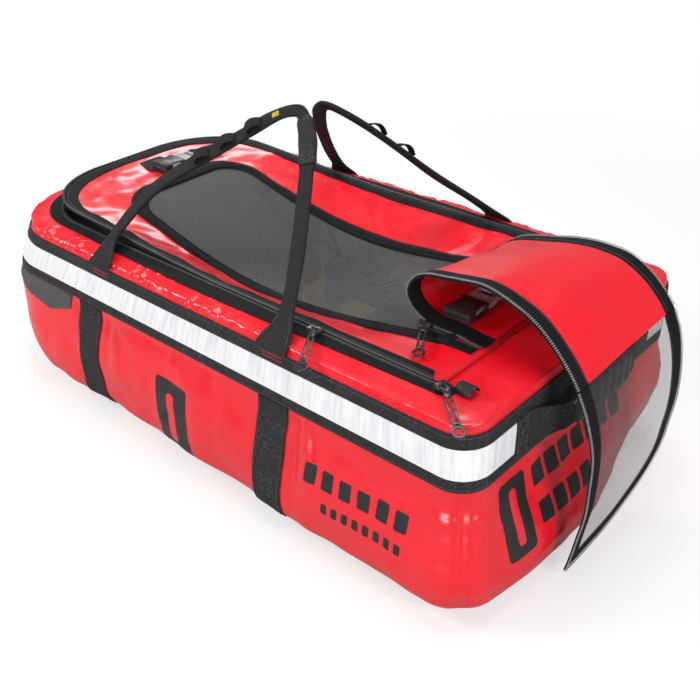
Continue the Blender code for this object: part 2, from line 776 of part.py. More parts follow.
def tail_tape(sheet):
    """The zip tape round the film: down the near edge, along the curve and up the far edge."""
    half = FLAP_CLEAR_HALF
    film_end = TAIL_FILM_END + 2 * GAP
    shares = tail_shares(sheet)
    rings = [sheet.ring((share, -half), (share, -FLAP_HALF)) for share in shares]
    for angle in reversed(TAIL_CURVE_ANGLES):
        cosine, sine = math.cos(math.radians(angle)), math.sin(math.radians(angle))
        rings.append(sheet.ring(tail_curve(cosine, sine, half, film_end),
                                tail_curve(cosine, sine, FLAP_HALF, 1.0)))
    rings += [sheet.ring((share, half), (share, FLAP_HALF)) for share in reversed(shares[:-1])]
    return loft(rings)


flap_body = make_body("flap_axis", (FOLD_X, 0, FOLD_HEIGHT), lid_body)
tail_pivot = Vector((SEAM_X - FLAP_PANEL_FAR[-1][0] + SHEET / 2, 0, FLAP_PANEL_FAR[-1][1]))
tail_body = make_body("tail_axis", tail_pivot, flap_body)
add_flap_sheets("flap_root", RuledSheet(FLAP_ROOT_NEAR, FLAP_ROOT_FAR, FLAP_STEPS), lid_body)
flap_panel = RuledSheet(after(FLAP_PANEL_NEAR, FLAP_ROOT_NEAR[-1]),
                        after(FLAP_PANEL_FAR, FLAP_ROOT_FAR[-1]), FLAP_STEPS)
add_flap_sheets("flap_panel", flap_panel, flap_body)
tail_sheet = RuledSheet(after(TAIL_NEAR, FLAP_PANEL_NEAR[-1]), after(TAIL_FAR, FLAP_PANEL_FAR[-1]),
                        FLAP_STEPS)
add_piece("clear_tail", clear_tail(tail_sheet), "clear_film", tail_body)
add_piece("tail_tape", tail_tape(tail_sheet), "black_zip_tape", tail_body)


# Carrying slings
SLING_LEAN = math.atan2(RIM_HEIGHT + SLING_RIM_CLEARANCE - BAND_TOP, HALF_WIDTH - MOUTH_WIDTH / 2)
SLING_PIVOT_Y = HALF_WIDTH + BAND_OUTER + GAP + SLING_THICKNESS / 2 * math.sin(SLING_LEAN)
SLING_PIVOT_Z = BAND_TOP + GAP + SLING_THICKNESS / 2 * math.cos(SLING_LEAN)


def sling_stations(route, side):
    """Stations along a sling in its leaning plane. Side is -1 for the near one and 1 for the far."""
    slope = Vector((0, -side * math.cos(SLING_LEAN), math.sin(SLING_LEAN)))
    out = Vector((0, side * math.sin(SLING_LEAN), math.cos(SLING_LEAN)))
    base = Vector((0, side * SLING_PIVOT_Y, SLING_PIVOT_Z))
    line = smooth_route(route, SLING_STEPS)
    top_end = max(point.y for point in line)
    top_start = SLING_TOP_START * top_end
    stations = []
    for i, point in enumerate(line):
        before, after = line[max(i - 1, 0)], line[min(i + 1, len(line) - 1)]
        run = (after - before).normalized()
        if i in (0, len(line) - 1):
            run = Vector((0, 1)) if i == 0 else Vector((0, -1))
        flat = Vector((run.y, -run.x))
        across = ALONG * flat.x + slope * flat.y
        flare = smooth_step(point.y / SLING_BASE_WIDTH)
        top = smooth_step((point.y - top_start) / (top_end - top_start))
        width = SLING_BASE_WIDTH + (SLING_WIDTH - SLING_BASE_WIDTH) * flare
        width += (SLING_TOP_WIDTH - SLING_WIDTH) * top
        centre = base + ALONG * point.x + slope * point.y - out * (SLING_THICKNESS / 2)
        stations.append((centre, across, out, width, SLING_THICKNESS))
    return stations


near_sling_body = make_body("near_sling_axis", (0, -SLING_PIVOT_Y, SLING_PIVOT_Z), bag_body)
far_sling_body = make_body("far_sling_axis", (0, SLING_PIVOT_Y, SLING_PIVOT_Z), bag_body)
near_stations = sling_stations(NEAR_SLING_ROUTE, -1)
add_piece("near_sling", strip(near_stations), "black_webbing", near_sling_body)
add_piece("far_sling", strip(sling_stations(FAR_SLING_ROUTE, 1)), "black_webbing", far_sling_body)
wrap_stations = near_stations[round(WRAP_FIRST * len(near_stations)):
                              round(WRAP_LAST * len(near_stations)) + 1]
add_piece("sling_keeper", sleeve(wrap_stations, GAP, WRAP_WALL), "black_webbing", near_sling_body)


# Side-release buckles, laid out along +Y from the female part's mouth
LADDER_END = BUCKLE_CLEARANCE + BUCKLE_GRIP_LENGTH + BUCKLE_LADDER_LENGTH


def buckle_female(place):
    half = BUCKLE_WIDTH / 2
    return turned_shape(block((-half, -BUCKLE_FEMALE_LENGTH, -BUCKLE_HEIGHT / 2),
                              (half, 0, BUCKLE_HEIGHT / 2)), place)


def buckle_pocket(place):
    half = BUCKLE_WIDTH / 2 - BUCKLE_WALL
    height = BUCKLE_HEIGHT / 2 - BUCKLE_WALL
    return turned_shape(block((-half, -BUCKLE_POCKET_DEPTH, -height), (half, BUCKLE_WALL, height)), place)


def buckle_male(place):
    """A grip, a ladder and three prongs that go into the pocket."""
    outer = BUCKLE_WIDTH / 2 - BUCKLE_WALL - BUCKLE_CLEARANCE
    arm = outer - BUCKLE_ARM
    mouth = BUCKLE_CLEARANCE
    grip = BUCKLE_WIDTH / 2
    waist = grip - BUCKLE_WAIST
    half_outline = [
        (BUCKLE_GUIDE, -BUCKLE_PRONG_LENGTH + BUCKLE_GUIDE_SHORTER), (BUCKLE_GUIDE, mouth),
        (arm, mouth), (arm, -BUCKLE_PRONG_LENGTH), (outer - BUCKLE_ARM / 2, -BUCKLE_PRONG_LENGTH),
        (outer, -BUCKLE_PRONG_LENGTH + BUCKLE_ARM_TAPER), (outer, mouth), (grip, mouth),
        (grip, mouth + BUCKLE_GRIP_STRAIGHT), (waist, mouth + BUCKLE_GRIP_LENGTH), (waist, LADDER_END),
    ]
    mirrored = [(-x, y) for x, y in reversed(half_outline)]
    thick = BUCKLE_HEIGHT / 2 - BUCKLE_WALL - BUCKLE_CLEARANCE
    return turned_shape(extruded(half_outline + mirrored, -thick, thick), place)


def buckle_slots(place):
    """Two slots of the ladder, for the webbing."""
    half = BUCKLE_WIDTH / 2 - BUCKLE_SLOT_MARGIN
    first = BUCKLE_CLEARANCE + BUCKLE_GRIP_LENGTH + BUCKLE_SLOT_START
    return [turned_shape(block((-half, start, -BUCKLE_HEIGHT), (half, start + BUCKLE_SLOT, BUCKLE_HEIGHT)),
                         place) for start in (first, first + BUCKLE_SLOT_PITCH)]


def add_buckle(prefix, place, body, male_body, tail_drop=0.0):
    """A buckle, with the webbing that the male part's ladder holds."""
    female = add_piece(prefix + "_female", buckle_female(place), "black_plastic", body)
    cut_with(female, buckle_pocket(place), prefix + "_pocket", body)
    male = add_piece(prefix + "_male", buckle_male(place), "grey_plastic", male_body)
    for i, slot in enumerate(buckle_slots(place)):
        cut_with(male, slot, f"{prefix}_slot_{i}", male_body)
    width = BUCKLE_WIDTH - 2 * BUCKLE_WEBBING_MARGIN
    start = Vector((0, LADDER_END + GAP, -WEBBING / 2))
    end = start + Vector((0, BUCKLE_TAIL_LENGTH, -tail_drop))
    stations = [(centre, ALONG, UP, width, WEBBING) for centre in (start, end)]
    add_piece(prefix + "_webbing", turned_shape(strip(stations), place), "black_webbing", male_body)


def at_place(x, y, z, turned=False):
    """Moves a buckle's points to its place, turned to point along the bag if asked."""
    def place(point):
        if turned:
            return Vector((x - point.y, y + point.x, z + point.z))
        return Vector((x + point.x, y + point.y, z + point.z))
    return place


LEFT_BUCKLE_X = -0.290
LEFT_BUCKLE_MOUTH_Y = 0.030
LEFT_PATCH_LENGTH = 0.070
LEFT_PATCH_WIDTH = 0.044
LEFT_PATCH_STEPS = 4
LEFT_TAIL_DROP = 0.001
BUCKLE_RIDE = GAP + WEBBING + GAP + BUCKLE_HEIGHT / 2
PATCH_LEFT_END = LEFT_BUCKLE_X + BUCKLE_WIDTH / 2 - LEFT_PATCH_LENGTH


def lid_patch_strip():
    """A webbing patch on the lid's left frame, under the buckle's female part."""
    y = LEFT_BUCKLE_MOUTH_Y - BUCKLE_FEMALE_LENGTH / 2
    stations = []
    for i in range(LEFT_PATCH_STEPS + 1):
        x = PATCH_LEFT_END + LEFT_PATCH_LENGTH * i / LEFT_PATCH_STEPS
        stations.append((Vector((x, y, lid_edge_height(x) + GAP)), ACROSS, UP, LEFT_PATCH_WIDTH,
                         WEBBING))
    return strip(stations)


left_buckle_z = lid_edge_height(LEFT_BUCKLE_X - BUCKLE_WIDTH / 2) + BUCKLE_RIDE
left_place = at_place(LEFT_BUCKLE_X, LEFT_BUCKLE_MOUTH_Y, left_buckle_z)
left_male_body = make_body("left_buckle_axis", (LEFT_BUCKLE_X, LEFT_BUCKLE_MOUTH_Y, left_buckle_z),
                           lid_body)
add_piece("left_buckle_patch", lid_patch_strip(), "black_webbing", lid_body)
add_buckle("left_buckle", left_place, lid_body, left_male_body, LEFT_TAIL_DROP)

CURL_BUCKLE_X = 0.328
CURL_BUCKLE_MOUTH_Y = -0.040
CURL_PATCH_LENGTH = 0.030
CURL_FLOOR_SLOPE = 0.0008
curl_floor = FLAP_ROOT_NEAR[3][1] + SHEET / 2
curl_buckle_z = curl_floor + CURL_FLOOR_SLOPE + BUCKLE_RIDE + GAP
curl_place = at_place(CURL_BUCKLE_X, CURL_BUCKLE_MOUTH_Y, curl_buckle_z)
curl_male_body = make_body("curl_buckle_axis", (CURL_BUCKLE_X, CURL_BUCKLE_MOUTH_Y, curl_buckle_z),
                           lid_body)
curl_patch_y = CURL_BUCKLE_MOUTH_Y - BUCKLE_FEMALE_LENGTH / 2
curl_patch_low = Vector((CURL_BUCKLE_X - CURL_PATCH_LENGTH / 2, curl_patch_y - CURL_PATCH_LENGTH / 2,
                         curl_floor + CURL_FLOOR_SLOPE + GAP))
curl_patch_high = curl_patch_low + Vector((CURL_PATCH_LENGTH, CURL_PATCH_LENGTH, WEBBING))
add_piece("curl_buckle_patch", block(curl_patch_low, curl_patch_high), "black_webbing", lid_body)
add_buckle("curl_buckle", curl_place, lid_body, curl_male_body)


# Zip sliders with their pull tabs
def slider(place):
    shape = block((-SLIDER_LENGTH / 2, -SLIDER_WIDTH / 2, 0), (SLIDER_LENGTH / 2, SLIDER_WIDTH / 2,
                                                               SLIDER_HEIGHT))
    return turned_shape(shape, place)


def pull_outline():
    """A long tab that widens into a ring at its end, along +X from its hinge."""
    ring_x = PULL_LENGTH - PULL_RING
    opening = math.degrees(math.asin(PULL_NECK / PULL_RING))
    ring = arc((ring_x, 0), PULL_RING, opening - 180, 180 - opening, PULL_RING_STEPS)
    return [(0, -PULL_NECK)] + ring + [(0, PULL_NECK)]


def pull_hole():
    ring_x = PULL_LENGTH - PULL_RING
    return arc((ring_x, 0), PULL_HOLE, 0, 360, PULL_RING_STEPS)[:-1]


def pull_run(heading_degrees, dip_degrees):
    """The direction in which a pull tab lies."""
    heading, dip = math.radians(heading_degrees), math.radians(dip_degrees)
    return Vector((math.cos(heading) * math.cos(dip), math.sin(heading) * math.cos(dip), -math.sin(dip)))


def pull_start(position, heading_degrees):
    """The near end of a pull tab, just clear of the slider's side or end in its heading."""
    heading = math.radians(heading_degrees)
    run = Vector((math.cos(heading), math.sin(heading), 0))
    half_length, half_width = SLIDER_LENGTH / 2, SLIDER_WIDTH / 2
    past_corner = half_length * abs(run.x) + half_width * abs(run.y)
    past_side = (half_width + PULL_NECK * abs(run.x)) / max(abs(run.y), 0.01)
    past_end = (half_length + PULL_NECK * abs(run.y)) / max(abs(run.x), 0.01)
    reach = min(past_corner, past_side, past_end) + PULL_CLEARANCE
    return Vector(position) + run * reach + UP * (SLIDER_HEIGHT - PULL_THICKNESS)


def pull_hinge(position, heading_degrees, dip_degrees):
    """A pull tab turns about a line inside its near end, as far from its faces as from its edge."""
    start = pull_start(position, heading_degrees)
    return start + pull_run(heading_degrees, dip_degrees) * (PULL_THICKNESS / 2)


def add_slider(prefix, position, heading_degrees, dip_degrees, slider_body, pull_body):
    """A slider at a place, and its pull tab lying towards a heading."""
    centre = Vector(position)
    body = add_piece(prefix, slider(lambda point: centre + point), "zip_metal", slider_body)
    round_edges(body, SLIDER_ROUNDING)
    run = pull_run(heading_degrees, dip_degrees)
    side = UP.cross(run).normalized()
    rise = run.cross(side)
    start = pull_start(position, heading_degrees)

    def place(point):
        return start + run * point.x + side * point.y + rise * point.z

    thick = PULL_THICKNESS / 2
    pull = add_piece(prefix + "_pull", turned_shape(extruded(pull_outline(), -thick, thick), place),
                     "zip_metal", pull_body)
    cut_with(pull, turned_shape(extruded(pull_hole(), -PULL_RING, PULL_RING), place),
             prefix + "_hole", pull_body)


ZIP_TOP = STRAP_GAP + WEBBING + GAP
SLIDER_Y = -(MOUTH_WIDTH / 2 - SLIDER_OVERLAP + SLIDER_WIDTH / 2)
LID_SLIDER_RIGHT = (0.392, SLIDER_Y, RIM_HEIGHT + ZIP_TOP)
LID_SLIDER_LEFT = (0.212, SLIDER_Y, RIM_HEIGHT + ZIP_TOP)
FLAP_SLIDER = (0.302, -FLAP_HALF - GAP - SLIDER_WIDTH / 2, HINGE_HEIGHT + ZIP_TOP)
SHOULDER_SLOPE = (RIM_HEIGHT - BAND_TOP) / (HALF_WIDTH - MOUTH_WIDTH / 2)
# Name, place, heading of the pull and its lift off the slope under it, both in degrees, how steep
# that slope is across the bag, and what carries the slider
SLIDERS = (
    ("lid_slider_right", LID_SLIDER_RIGHT, -38, -0.5, SHOULDER_SLOPE, bag_body),
    ("lid_slider_left", LID_SLIDER_LEFT, -62, 6.0, SHOULDER_SLOPE, bag_body),
    ("flap_slider", FLAP_SLIDER, -58, -2.0, 0.0, lid_body),
)
for slider_name, slider_at, heading, lift, slope, carrier in SLIDERS:
    dip = math.degrees(math.atan(slope * abs(math.sin(math.radians(heading))))) - lift
    sliding = make_body(slider_name + "_axis", slider_at, carrier)
    hinging = make_body(slider_name + "_pull_axis", pull_hinge(slider_at, heading, dip), sliding)
    add_slider(slider_name, slider_at, heading, dip, sliding, hinging)


# End stops of the lid's zip, end handle and vent patch
def deck_height(x):
    """The height of the flat deck between the lid's seam and the right shoulder."""
    return RIM_HEIGHT - SHOULDER_DROP * (x - SEAM_X) / (SHOULDER_LEVEL.right - SEAM_X)


def zip_end_tab(side):
    """An arched webbing tab over the end of the zip."""
    stations = []
    for i in range(ZIP_TAB_STEPS + 1):
        angle = math.pi * i / ZIP_TAB_STEPS
        y = side * (MOUTH_WIDTH / 2 - ZIP_TAB_INSET - ZIP_TAB_SPAN * (1 - math.cos(angle)) / 2)
        z = deck_height(ZIP_TAB_X - ZIP_TAB_WIDTH / 2) + STRAP_GAP + ZIP_TAB_RISE * math.sin(angle)
        stations.append((Vector((ZIP_TAB_X, y, z)), ALONG, UP, ZIP_TAB_WIDTH, WEBBING))
    return strip(stations)


HANDLE_FLAT = HALF_LENGTH + BAND_OUTER + GAP
HANDLE_MIDDLE = BAND_BOTTOM + BAND_HEIGHT / 2
HANDLE_FREE = HANDLE_REACH - HANDLE_TAB


def handle_line():
    """The end handle's inner face, from the near end to the far end, as (y, x)."""
    start = HANDLE_FREE - GAP
    points = [(-start, HANDLE_FLAT), (-start + HANDLE_FOOT, HANDLE_FLAT + HANDLE_FOOT_RISE),
              (-HANDLE_GRIP_HALF - HANDLE_SHOULDER, HANDLE_FLAT + HANDLE_BOW - HANDLE_SHOULDER_DROP),
              (-HANDLE_GRIP_HALF + HANDLE_BEND, HANDLE_FLAT + HANDLE_BOW),
              (0, HANDLE_FLAT + HANDLE_BOW + HANDLE_CROWN)]
    mirrored = [(-y, x) for y, x in reversed(points[:-1])]
    return smooth_route(points + mirrored, HANDLE_STEPS)


def handle_stations():
    stations = []
    line = handle_line()
    for i, point in enumerate(line):
        before, after = line[max(i - 1, 0)], line[min(i + 1, len(line) - 1)]
        run = (after - before).normalized() if 0 < i < len(line) - 1 else Vector((1, 0))
        out = Vector((run.x, -run.y, 0))
        narrow = smooth_step((HANDLE_FREE - abs(point.x)) / HANDLE_NARROWING_LENGTH)
        width = HANDLE_WIDTH * (1 - HANDLE_NARROWING * narrow)
        stations.append((Vector((point.y, point.x, HANDLE_MIDDLE)), UP, out, width, WEBBING))
    return stations


def handle_grip():
    """Stations of the ribbed sleeve round the middle of the handle."""
    width = HANDLE_WIDTH * (1 - HANDLE_NARROWING)
    half = HANDLE_GRIP_HALF - GRIP_END_MARGIN
    stations = []
    count = 2 * HANDLE_RIBS
    for i in range(count + 1):
        y = -half + 2 * half * i / count
        bulge = GRIP_RIB_BULGE * (i % 2)
        x = HANDLE_FLAT + HANDLE_BOW + HANDLE_CROWN * (1 - (y / HANDLE_GRIP_HALF) ** 2)
        stations.append((Vector((x - bulge - GRIP_BACK, y, HANDLE_MIDDLE)), UP, ALONG,
                         width + 2 * bulge, WEBBING + 2 * (bulge + GRIP_BACK)))
    return stations


def handle_tab(side):
    low, high = sorted((side * HANDLE_REACH, side * HANDLE_FREE))
    return block((HANDLE_FLAT, low, HANDLE_MIDDLE - HANDLE_WIDTH / 2),
                 (HANDLE_FLAT + WEBBING, high, HANDLE_MIDDLE + HANDLE_WIDTH / 2))


def near_side(level, x):
    """The near side's place at a level, on its straight part or on its left corner."""
    corner_start = level.left + level.corner_left
    if x >= corner_start:
        return Vector((x, -level.half_at(x), level.z))
    inset = level.corner_left - math.sqrt(level.corner_left ** 2 - (corner_start - x) ** 2)
    return Vector((x, inset - level.half_left, level.z))


def vent_patch():
    """A mesh patch under the band, towards the left corner, with a low point at its middle."""
    upper, lower = [level for level in tub_levels() if VENT_LOWEST_LEVEL < level.z <= BAND_BOTTOM][::-1]
    corner_start = upper.left + upper.corner_left
    places = [corner_start - upper.corner_left * math.sin(math.radians(angle))
              for angle in VENT_CORNER_ANGLES] + [VENT_POINT_X, VENT_RIGHT]
    rings = []
    for x, depth in zip(places, VENT_DEPTHS):
        top, low = near_side(upper, x), near_side(lower, x)
        edge = top.lerp(low, depth)
        out = Vector((0, -1, 0))
        if x < corner_start:
            out = (top - Vector((corner_start, LEFT_CORNER - HALF_WIDTH, top.z))).normalized()
        top = top.lerp(low, VENT_TOP_SHARE)
        lift, skin = out * VENT_LIFT, out * (VENT_LIFT + TAPE_STOCK)
        rings.append([top + lift, edge + lift, edge + skin, top + skin])
    return loft(rings)


for side_name, side_sign in (("near", -1), ("far", 1)):
    add_piece("zip_end_tab_" + side_name, zip_end_tab(side_sign), "black_webbing", bag_body)
    add_piece("handle_tab_" + side_name, handle_tab(side_sign), "black_webbing", bag_body)
handle_body = make_body("end_handle_axis", (HANDLE_FLAT, 0, HANDLE_MIDDLE + HANDLE_WIDTH / 2), bag_body)
add_piece("end_handle", strip(handle_stations()), "black_webbing", handle_body)
add_piece("end_handle_grip", sleeve(handle_grip(), GAP, HANDLE_GRIP_WALL), "black_plastic", handle_body)
add_piece("vent_patch", vent_patch(), "grey_mesh", bag_body)


# Base board, pad and harness inside the bag
def floor_level():
    return inward(tub_levels())[0]


def base_board():
    level = floor_level().grown(-BOARD_MARGIN)
    rings = []
    for rise in (GAP, GAP + BOARD_THICKNESS):
        rings.append(level.grown(0, rise).outline())
    return loft(rings)


def pad_rings():
    """A padded mattress: drawn in at its edge and crowned on top."""
    level = floor_level().grown(-PAD_MARGIN, 2 * GAP + BOARD_THICKNESS)
    return [level.grown(grow, PAD_THICKNESS * rise).outline() for grow, rise in PAD_SECTIONS]


add_piece("base_board", base_board(), "base_sheet", bag_body)
add_piece("mattress_pad", loft(pad_rings()), "dark_lining", bag_body)

PAD_TOP = floor_level().z + 2 * GAP + BOARD_THICKNESS + PAD_THICKNESS
HARNESS_Z = PAD_TOP + GAP


def flat_strap(start, end, width, height=HARNESS_Z):
    """A harness strap that lies flat between two places on the pad."""
    a, b = Vector((*start, height)), Vector((*end, height))
    across = UP.cross(b - a)
    return strip([(a, across, UP, width, WEBBING), (b, across, UP, width, WEBBING)])


pad_low = (HARNESS_BUCKLE_X - HARNESS_PAD_HALF, -HARNESS_PAD_HALF, HARNESS_Z)
pad_high = (HARNESS_BUCKLE_X + HARNESS_PAD_HALF, HARNESS_PAD_HALF, HARNESS_Z + HARNESS_PAD_THICKNESS)
harness_pad = add_piece("harness_pad", block(pad_low, pad_high), "khaki_webbing", bag_body)
round_edges(harness_pad, HARNESS_PAD_ROUNDING)
harness_edge = HARNESS_PAD_HALF + GAP
shoulder_x, shoulder_y = SHOULDER_STRAP_START
shoulder_end = HARNESS_BUCKLE_X - harness_edge - SHOULDER_STRAP_CLEARANCE
HARNESS_STRAPS = (
    ("shoulder_strap_near", (shoulder_x, -shoulder_y), (shoulder_end, -SHOULDER_STRAP_SPREAD)),
    ("shoulder_strap_far", (shoulder_x, shoulder_y), (shoulder_end, SHOULDER_STRAP_SPREAD)),
    ("waist_strap_near", (HARNESS_BUCKLE_X, -WAIST_STRAP_REACH), (HARNESS_BUCKLE_X, -harness_edge)),
    ("waist_strap_far", (HARNESS_BUCKLE_X, WAIST_STRAP_REACH), (HARNESS_BUCKLE_X, harness_edge)),
    ("crotch_strap", (CROTCH_STRAP_REACH, 0.0), (HARNESS_BUCKLE_X + harness_edge, 0.0)),
)
for strap_name, strap_start, strap_end in HARNESS_STRAPS:
    add_piece(strap_name, flat_strap(strap_start, strap_end, HARNESS_WEBBING), "khaki_webbing", bag_body)

harness_buckle_z = HARNESS_Z + HARNESS_PAD_THICKNESS + GAP + BUCKLE_HEIGHT / 2
harness_place = at_place(HARNESS_BUCKLE_X, 0.0, harness_buckle_z, turned=True)
harness_male_body = make_body("harness_buckle_axis", (HARNESS_BUCKLE_X, 0.0, harness_buckle_z),
                              bag_body)
add_buckle("harness_buckle", harness_place, bag_body, harness_male_body)
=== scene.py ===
import math

import bpy
import bmesh
import numpy as np
from mathutils import Matrix, Vector, noise
from mathutils.bvhtree import BVHTree


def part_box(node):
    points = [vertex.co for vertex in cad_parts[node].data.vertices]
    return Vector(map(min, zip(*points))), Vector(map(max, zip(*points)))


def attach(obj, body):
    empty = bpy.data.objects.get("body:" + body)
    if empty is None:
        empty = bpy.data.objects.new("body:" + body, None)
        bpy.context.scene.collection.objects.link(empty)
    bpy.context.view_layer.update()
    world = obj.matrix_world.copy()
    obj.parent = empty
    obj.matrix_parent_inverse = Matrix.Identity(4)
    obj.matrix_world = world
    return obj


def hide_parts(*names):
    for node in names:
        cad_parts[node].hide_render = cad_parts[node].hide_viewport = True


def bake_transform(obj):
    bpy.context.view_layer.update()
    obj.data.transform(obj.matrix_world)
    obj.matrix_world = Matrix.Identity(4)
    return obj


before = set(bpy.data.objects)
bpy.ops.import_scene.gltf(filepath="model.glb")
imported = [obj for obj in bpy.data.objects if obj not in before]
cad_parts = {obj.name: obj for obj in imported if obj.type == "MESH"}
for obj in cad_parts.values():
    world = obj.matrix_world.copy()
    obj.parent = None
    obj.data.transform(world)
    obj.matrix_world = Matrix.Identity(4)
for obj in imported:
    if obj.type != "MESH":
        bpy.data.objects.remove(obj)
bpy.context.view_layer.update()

print("frame loaded")

# Child rescue bag: a red tarpaulin tub with a zipped lid, a mesh window, a window flap folded back
# over one end, carrying slings and a harness inside. Metres, +Z up, the near side at -Y.
# x is measured from the middle of the band, and midX moves it to the frame.
bandLow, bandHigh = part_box("band_webbing")
midX = (bandLow.x + bandHigh.x) / 2
strapLeft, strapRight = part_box("under_strap_left"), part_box("under_strap_right")
bag = {
    "halfLength": (bandHigh.x - bandLow.x) / 2 - 0.0023,
    "halfWidth": (bandHigh.y - bandLow.y) / 2 - 0.0023,
    "bandBottom": bandLow.z,
    "bandTop": bandHigh.z,
    "rim": 0.262,
    "floor": 0.0026,
    "seam": 0.385,  # where the lid turns, from the middle of the band
    "mouthHalf": 0.180,
}


# Small helpers
def smoothStep(share):
    share = np.clip(share, 0.0, 1.0)
    return share * share * (3 - 2 * share)


def bump(distance, width):  # a smooth hump of height 1
    return np.exp(-(np.asarray(distance) / width) ** 2)


def lumps(points, size, seed=0.0):  # smooth noise over points, about -1 to 1
    flat = np.asarray(points, float).reshape(-1, 3)
    sizes = np.broadcast_to(np.asarray(size, float), (3,))
    shift = Vector((seed * 7.31, seed * 3.17, seed * 5.53))
    found = [noise.noise(Vector(point) + shift) for point in flat / sizes]
    return np.array(found).reshape(np.asarray(points).shape[:-1]) * 1.6


def catmull(points, steps):  # a smooth curve through points of any size
    points = np.asarray(points, float)
    padded = np.vstack([2 * points[0] - points[1], points, 2 * points[-1] - points[-2]])
    found = []
    for i in range(len(points) - 1):
        before, start, end, after = padded[i:i + 4]
        for t in np.arange(steps) / steps:
            found.append(0.5 * (2 * start + (end - before) * t
                                + (2 * before - 5 * start + 4 * end - after) * t ** 2
                                + (3 * start - before - 3 * end + after) * t ** 3))
    return np.array(found + [points[-1]])


def unit(vectors):
    vectors = np.asarray(vectors, float)
    return vectors / np.maximum(np.linalg.norm(vectors, axis=-1, keepdims=True), 1e-12)


def stepsOf(line):  # the length of each step of a line
    return np.linalg.norm(np.diff(line, axis=0), axis=1)


def runOf(line):  # how far along a line each of its points lies
    return np.concatenate([[0], np.cumsum(stepsOf(line))])


def readRows(at, run, rows):  # rows of numbers, read between at places along a run
    return np.stack([np.interp(at, run, rows[:, k]) for k in range(rows.shape[1])], axis=1)


def evenly(line, count):  # points at even distances along a line
    line = np.asarray(line, float)
    run = runOf(line)
    return readRows(np.linspace(0, run[-1], count), run, line)


def refine(line, normals, step, least):  # a line and its normals, with a point at each step
    fine = evenly(line, max(least, int(stepsOf(line).sum() / step)))
    return fine, readRows(np.linspace(0, 1, len(fine)), np.linspace(0, 1, len(normals)), normals)


def gridNormals(grid, wrap=False):  # outward for rows that run up and columns anticlockwise
    up = np.gradient(grid, axis=0)
    if wrap:
        along = np.roll(grid, -1, axis=1) - np.roll(grid, 1, axis=1)
    else:
        along = np.gradient(grid, axis=1)
    return unit(np.cross(along, up))


def sampleGrid(grid, row, column, wrap=False):  # bilinear, at fractional rows and columns
    rows, columns = grid.shape[:2]
    row = np.clip(row, 0, rows - 1.0001)
    column = np.mod(column, columns) if wrap else np.clip(column, 0, columns - 1.0001)
    r, c = np.floor(row).astype(int), np.floor(column).astype(int)
    a, b = (row - r)[..., None], (column - c)[..., None]
    c2 = (c + 1) % columns if wrap else c + 1
    c = c % columns
    low = grid[r, c] * (1 - b) + grid[r, c2] * b
    high = grid[r + 1, c] * (1 - b) + grid[r + 1, c2] * b
    return low * (1 - a) + high * a


def gridFaces(rows, count, wrap):  # the corners of each face of a grid of points
    faces = []
    for r in range(rows - 1):
        here, above = r * count, (r + 1) * count
        for c in range(count if wrap else count - 1):
            d = (c + 1) % count
            faces.append((here + c, here + d, above + d, above + c))
    return faces


def putInScene(name, data):
    thing = bpy.data.objects.new(name, data)
    bpy.context.scene.collection.objects.link(thing)
    return thing


def dressMesh(name, mesh, material, sharp):  # smooth up to a sharp angle, or flat without one
    mesh.materials.append(material)
    if sharp:
        mesh.shade_smooth()
        mesh.set_sharp_from_angle(angle=math.radians(sharp))
    return putInScene(name, mesh)


def makeObject(name, points, faces, material, uvs=None, sharp=40):
    mesh = bpy.data.meshes.new(name)
    mesh.from_pydata([tuple(p) for p in points], [], faces)
    if uvs is not None:
        layer = mesh.uv_layers.new(name="UVMap")
        flat = np.asarray(uvs, float)[[i for face in faces for i in face]]
        layer.data.foreach_set("uv", flat.astype(np.float32).ravel())
    return dressMesh(name, mesh, material, sharp)


def faceOut(thing):  # makes the faces of a closed mesh point out
    work = bmesh.new()
    work.from_mesh(thing.data)
    bmesh.ops.recalc_face_normals(work, faces=work.faces)
    work.to_mesh(thing.data)
    work.free()
    return thing


def gridUv(grid, wrap):  # distances along the rows and the columns, in metres
    closed = np.concatenate([grid, grid[:, :1]], axis=1) if wrap else grid
    across = np.linalg.norm(np.diff(closed, axis=1), axis=2).mean(axis=0)
    up = np.linalg.norm(np.diff(grid, axis=0), axis=2).mean(axis=1)
    u = np.concatenate([[0], np.cumsum(across)])[:grid.shape[1]]
    v = np.concatenate([[0], np.cumsum(up)])
    return np.stack(np.broadcast_arrays(u[None, :], v[:, None]), axis=-1)


def slab(name, grid, material, lift=0.0003, thick=0.0016, normals=None, rounded=0.25, wrap=False):
    # a closed sheet of even thickness over a grid of points, thinner at its long edges
    normals = gridNormals(grid, wrap) if normals is None else normals
    rows, columns = grid.shape[:2]
    share = np.abs(np.linspace(-1, 1, rows)) ** 6 if rows > 2 else np.zeros(rows)
    depth = thick * (1 - rounded * share)[:, None, None]
    bottom = grid + normals * lift
    top = grid + normals * (lift + depth)
    points = np.concatenate([bottom.reshape(-1, 3), top.reshape(-1, 3)])
    uv = gridUv(grid, wrap).reshape(-1, 2)
    count = rows * columns
    faces = []
    for a, b, c, d in gridFaces(rows, columns, wrap):
        faces.append((count + a, count + b, count + c, count + d))
        faces.append((a, d, c, b))
    edges = [[(r, c) for c in range(columns)] + ([(r, 0)] if wrap else []) for r in (0, rows - 1)]
    if not wrap:
        edges += [[(r, c) for r in range(rows)] for c in (0, columns - 1)]
    for edge in edges:
        for (r, c), (r2, c2) in zip(edge, edge[1:]):
            a, b = r * columns + c, r2 * columns + c2
            faces.append((a, b, count + b, count + a))
    return faceOut(makeObject(name, points, faces, material, np.concatenate([uv, uv])))


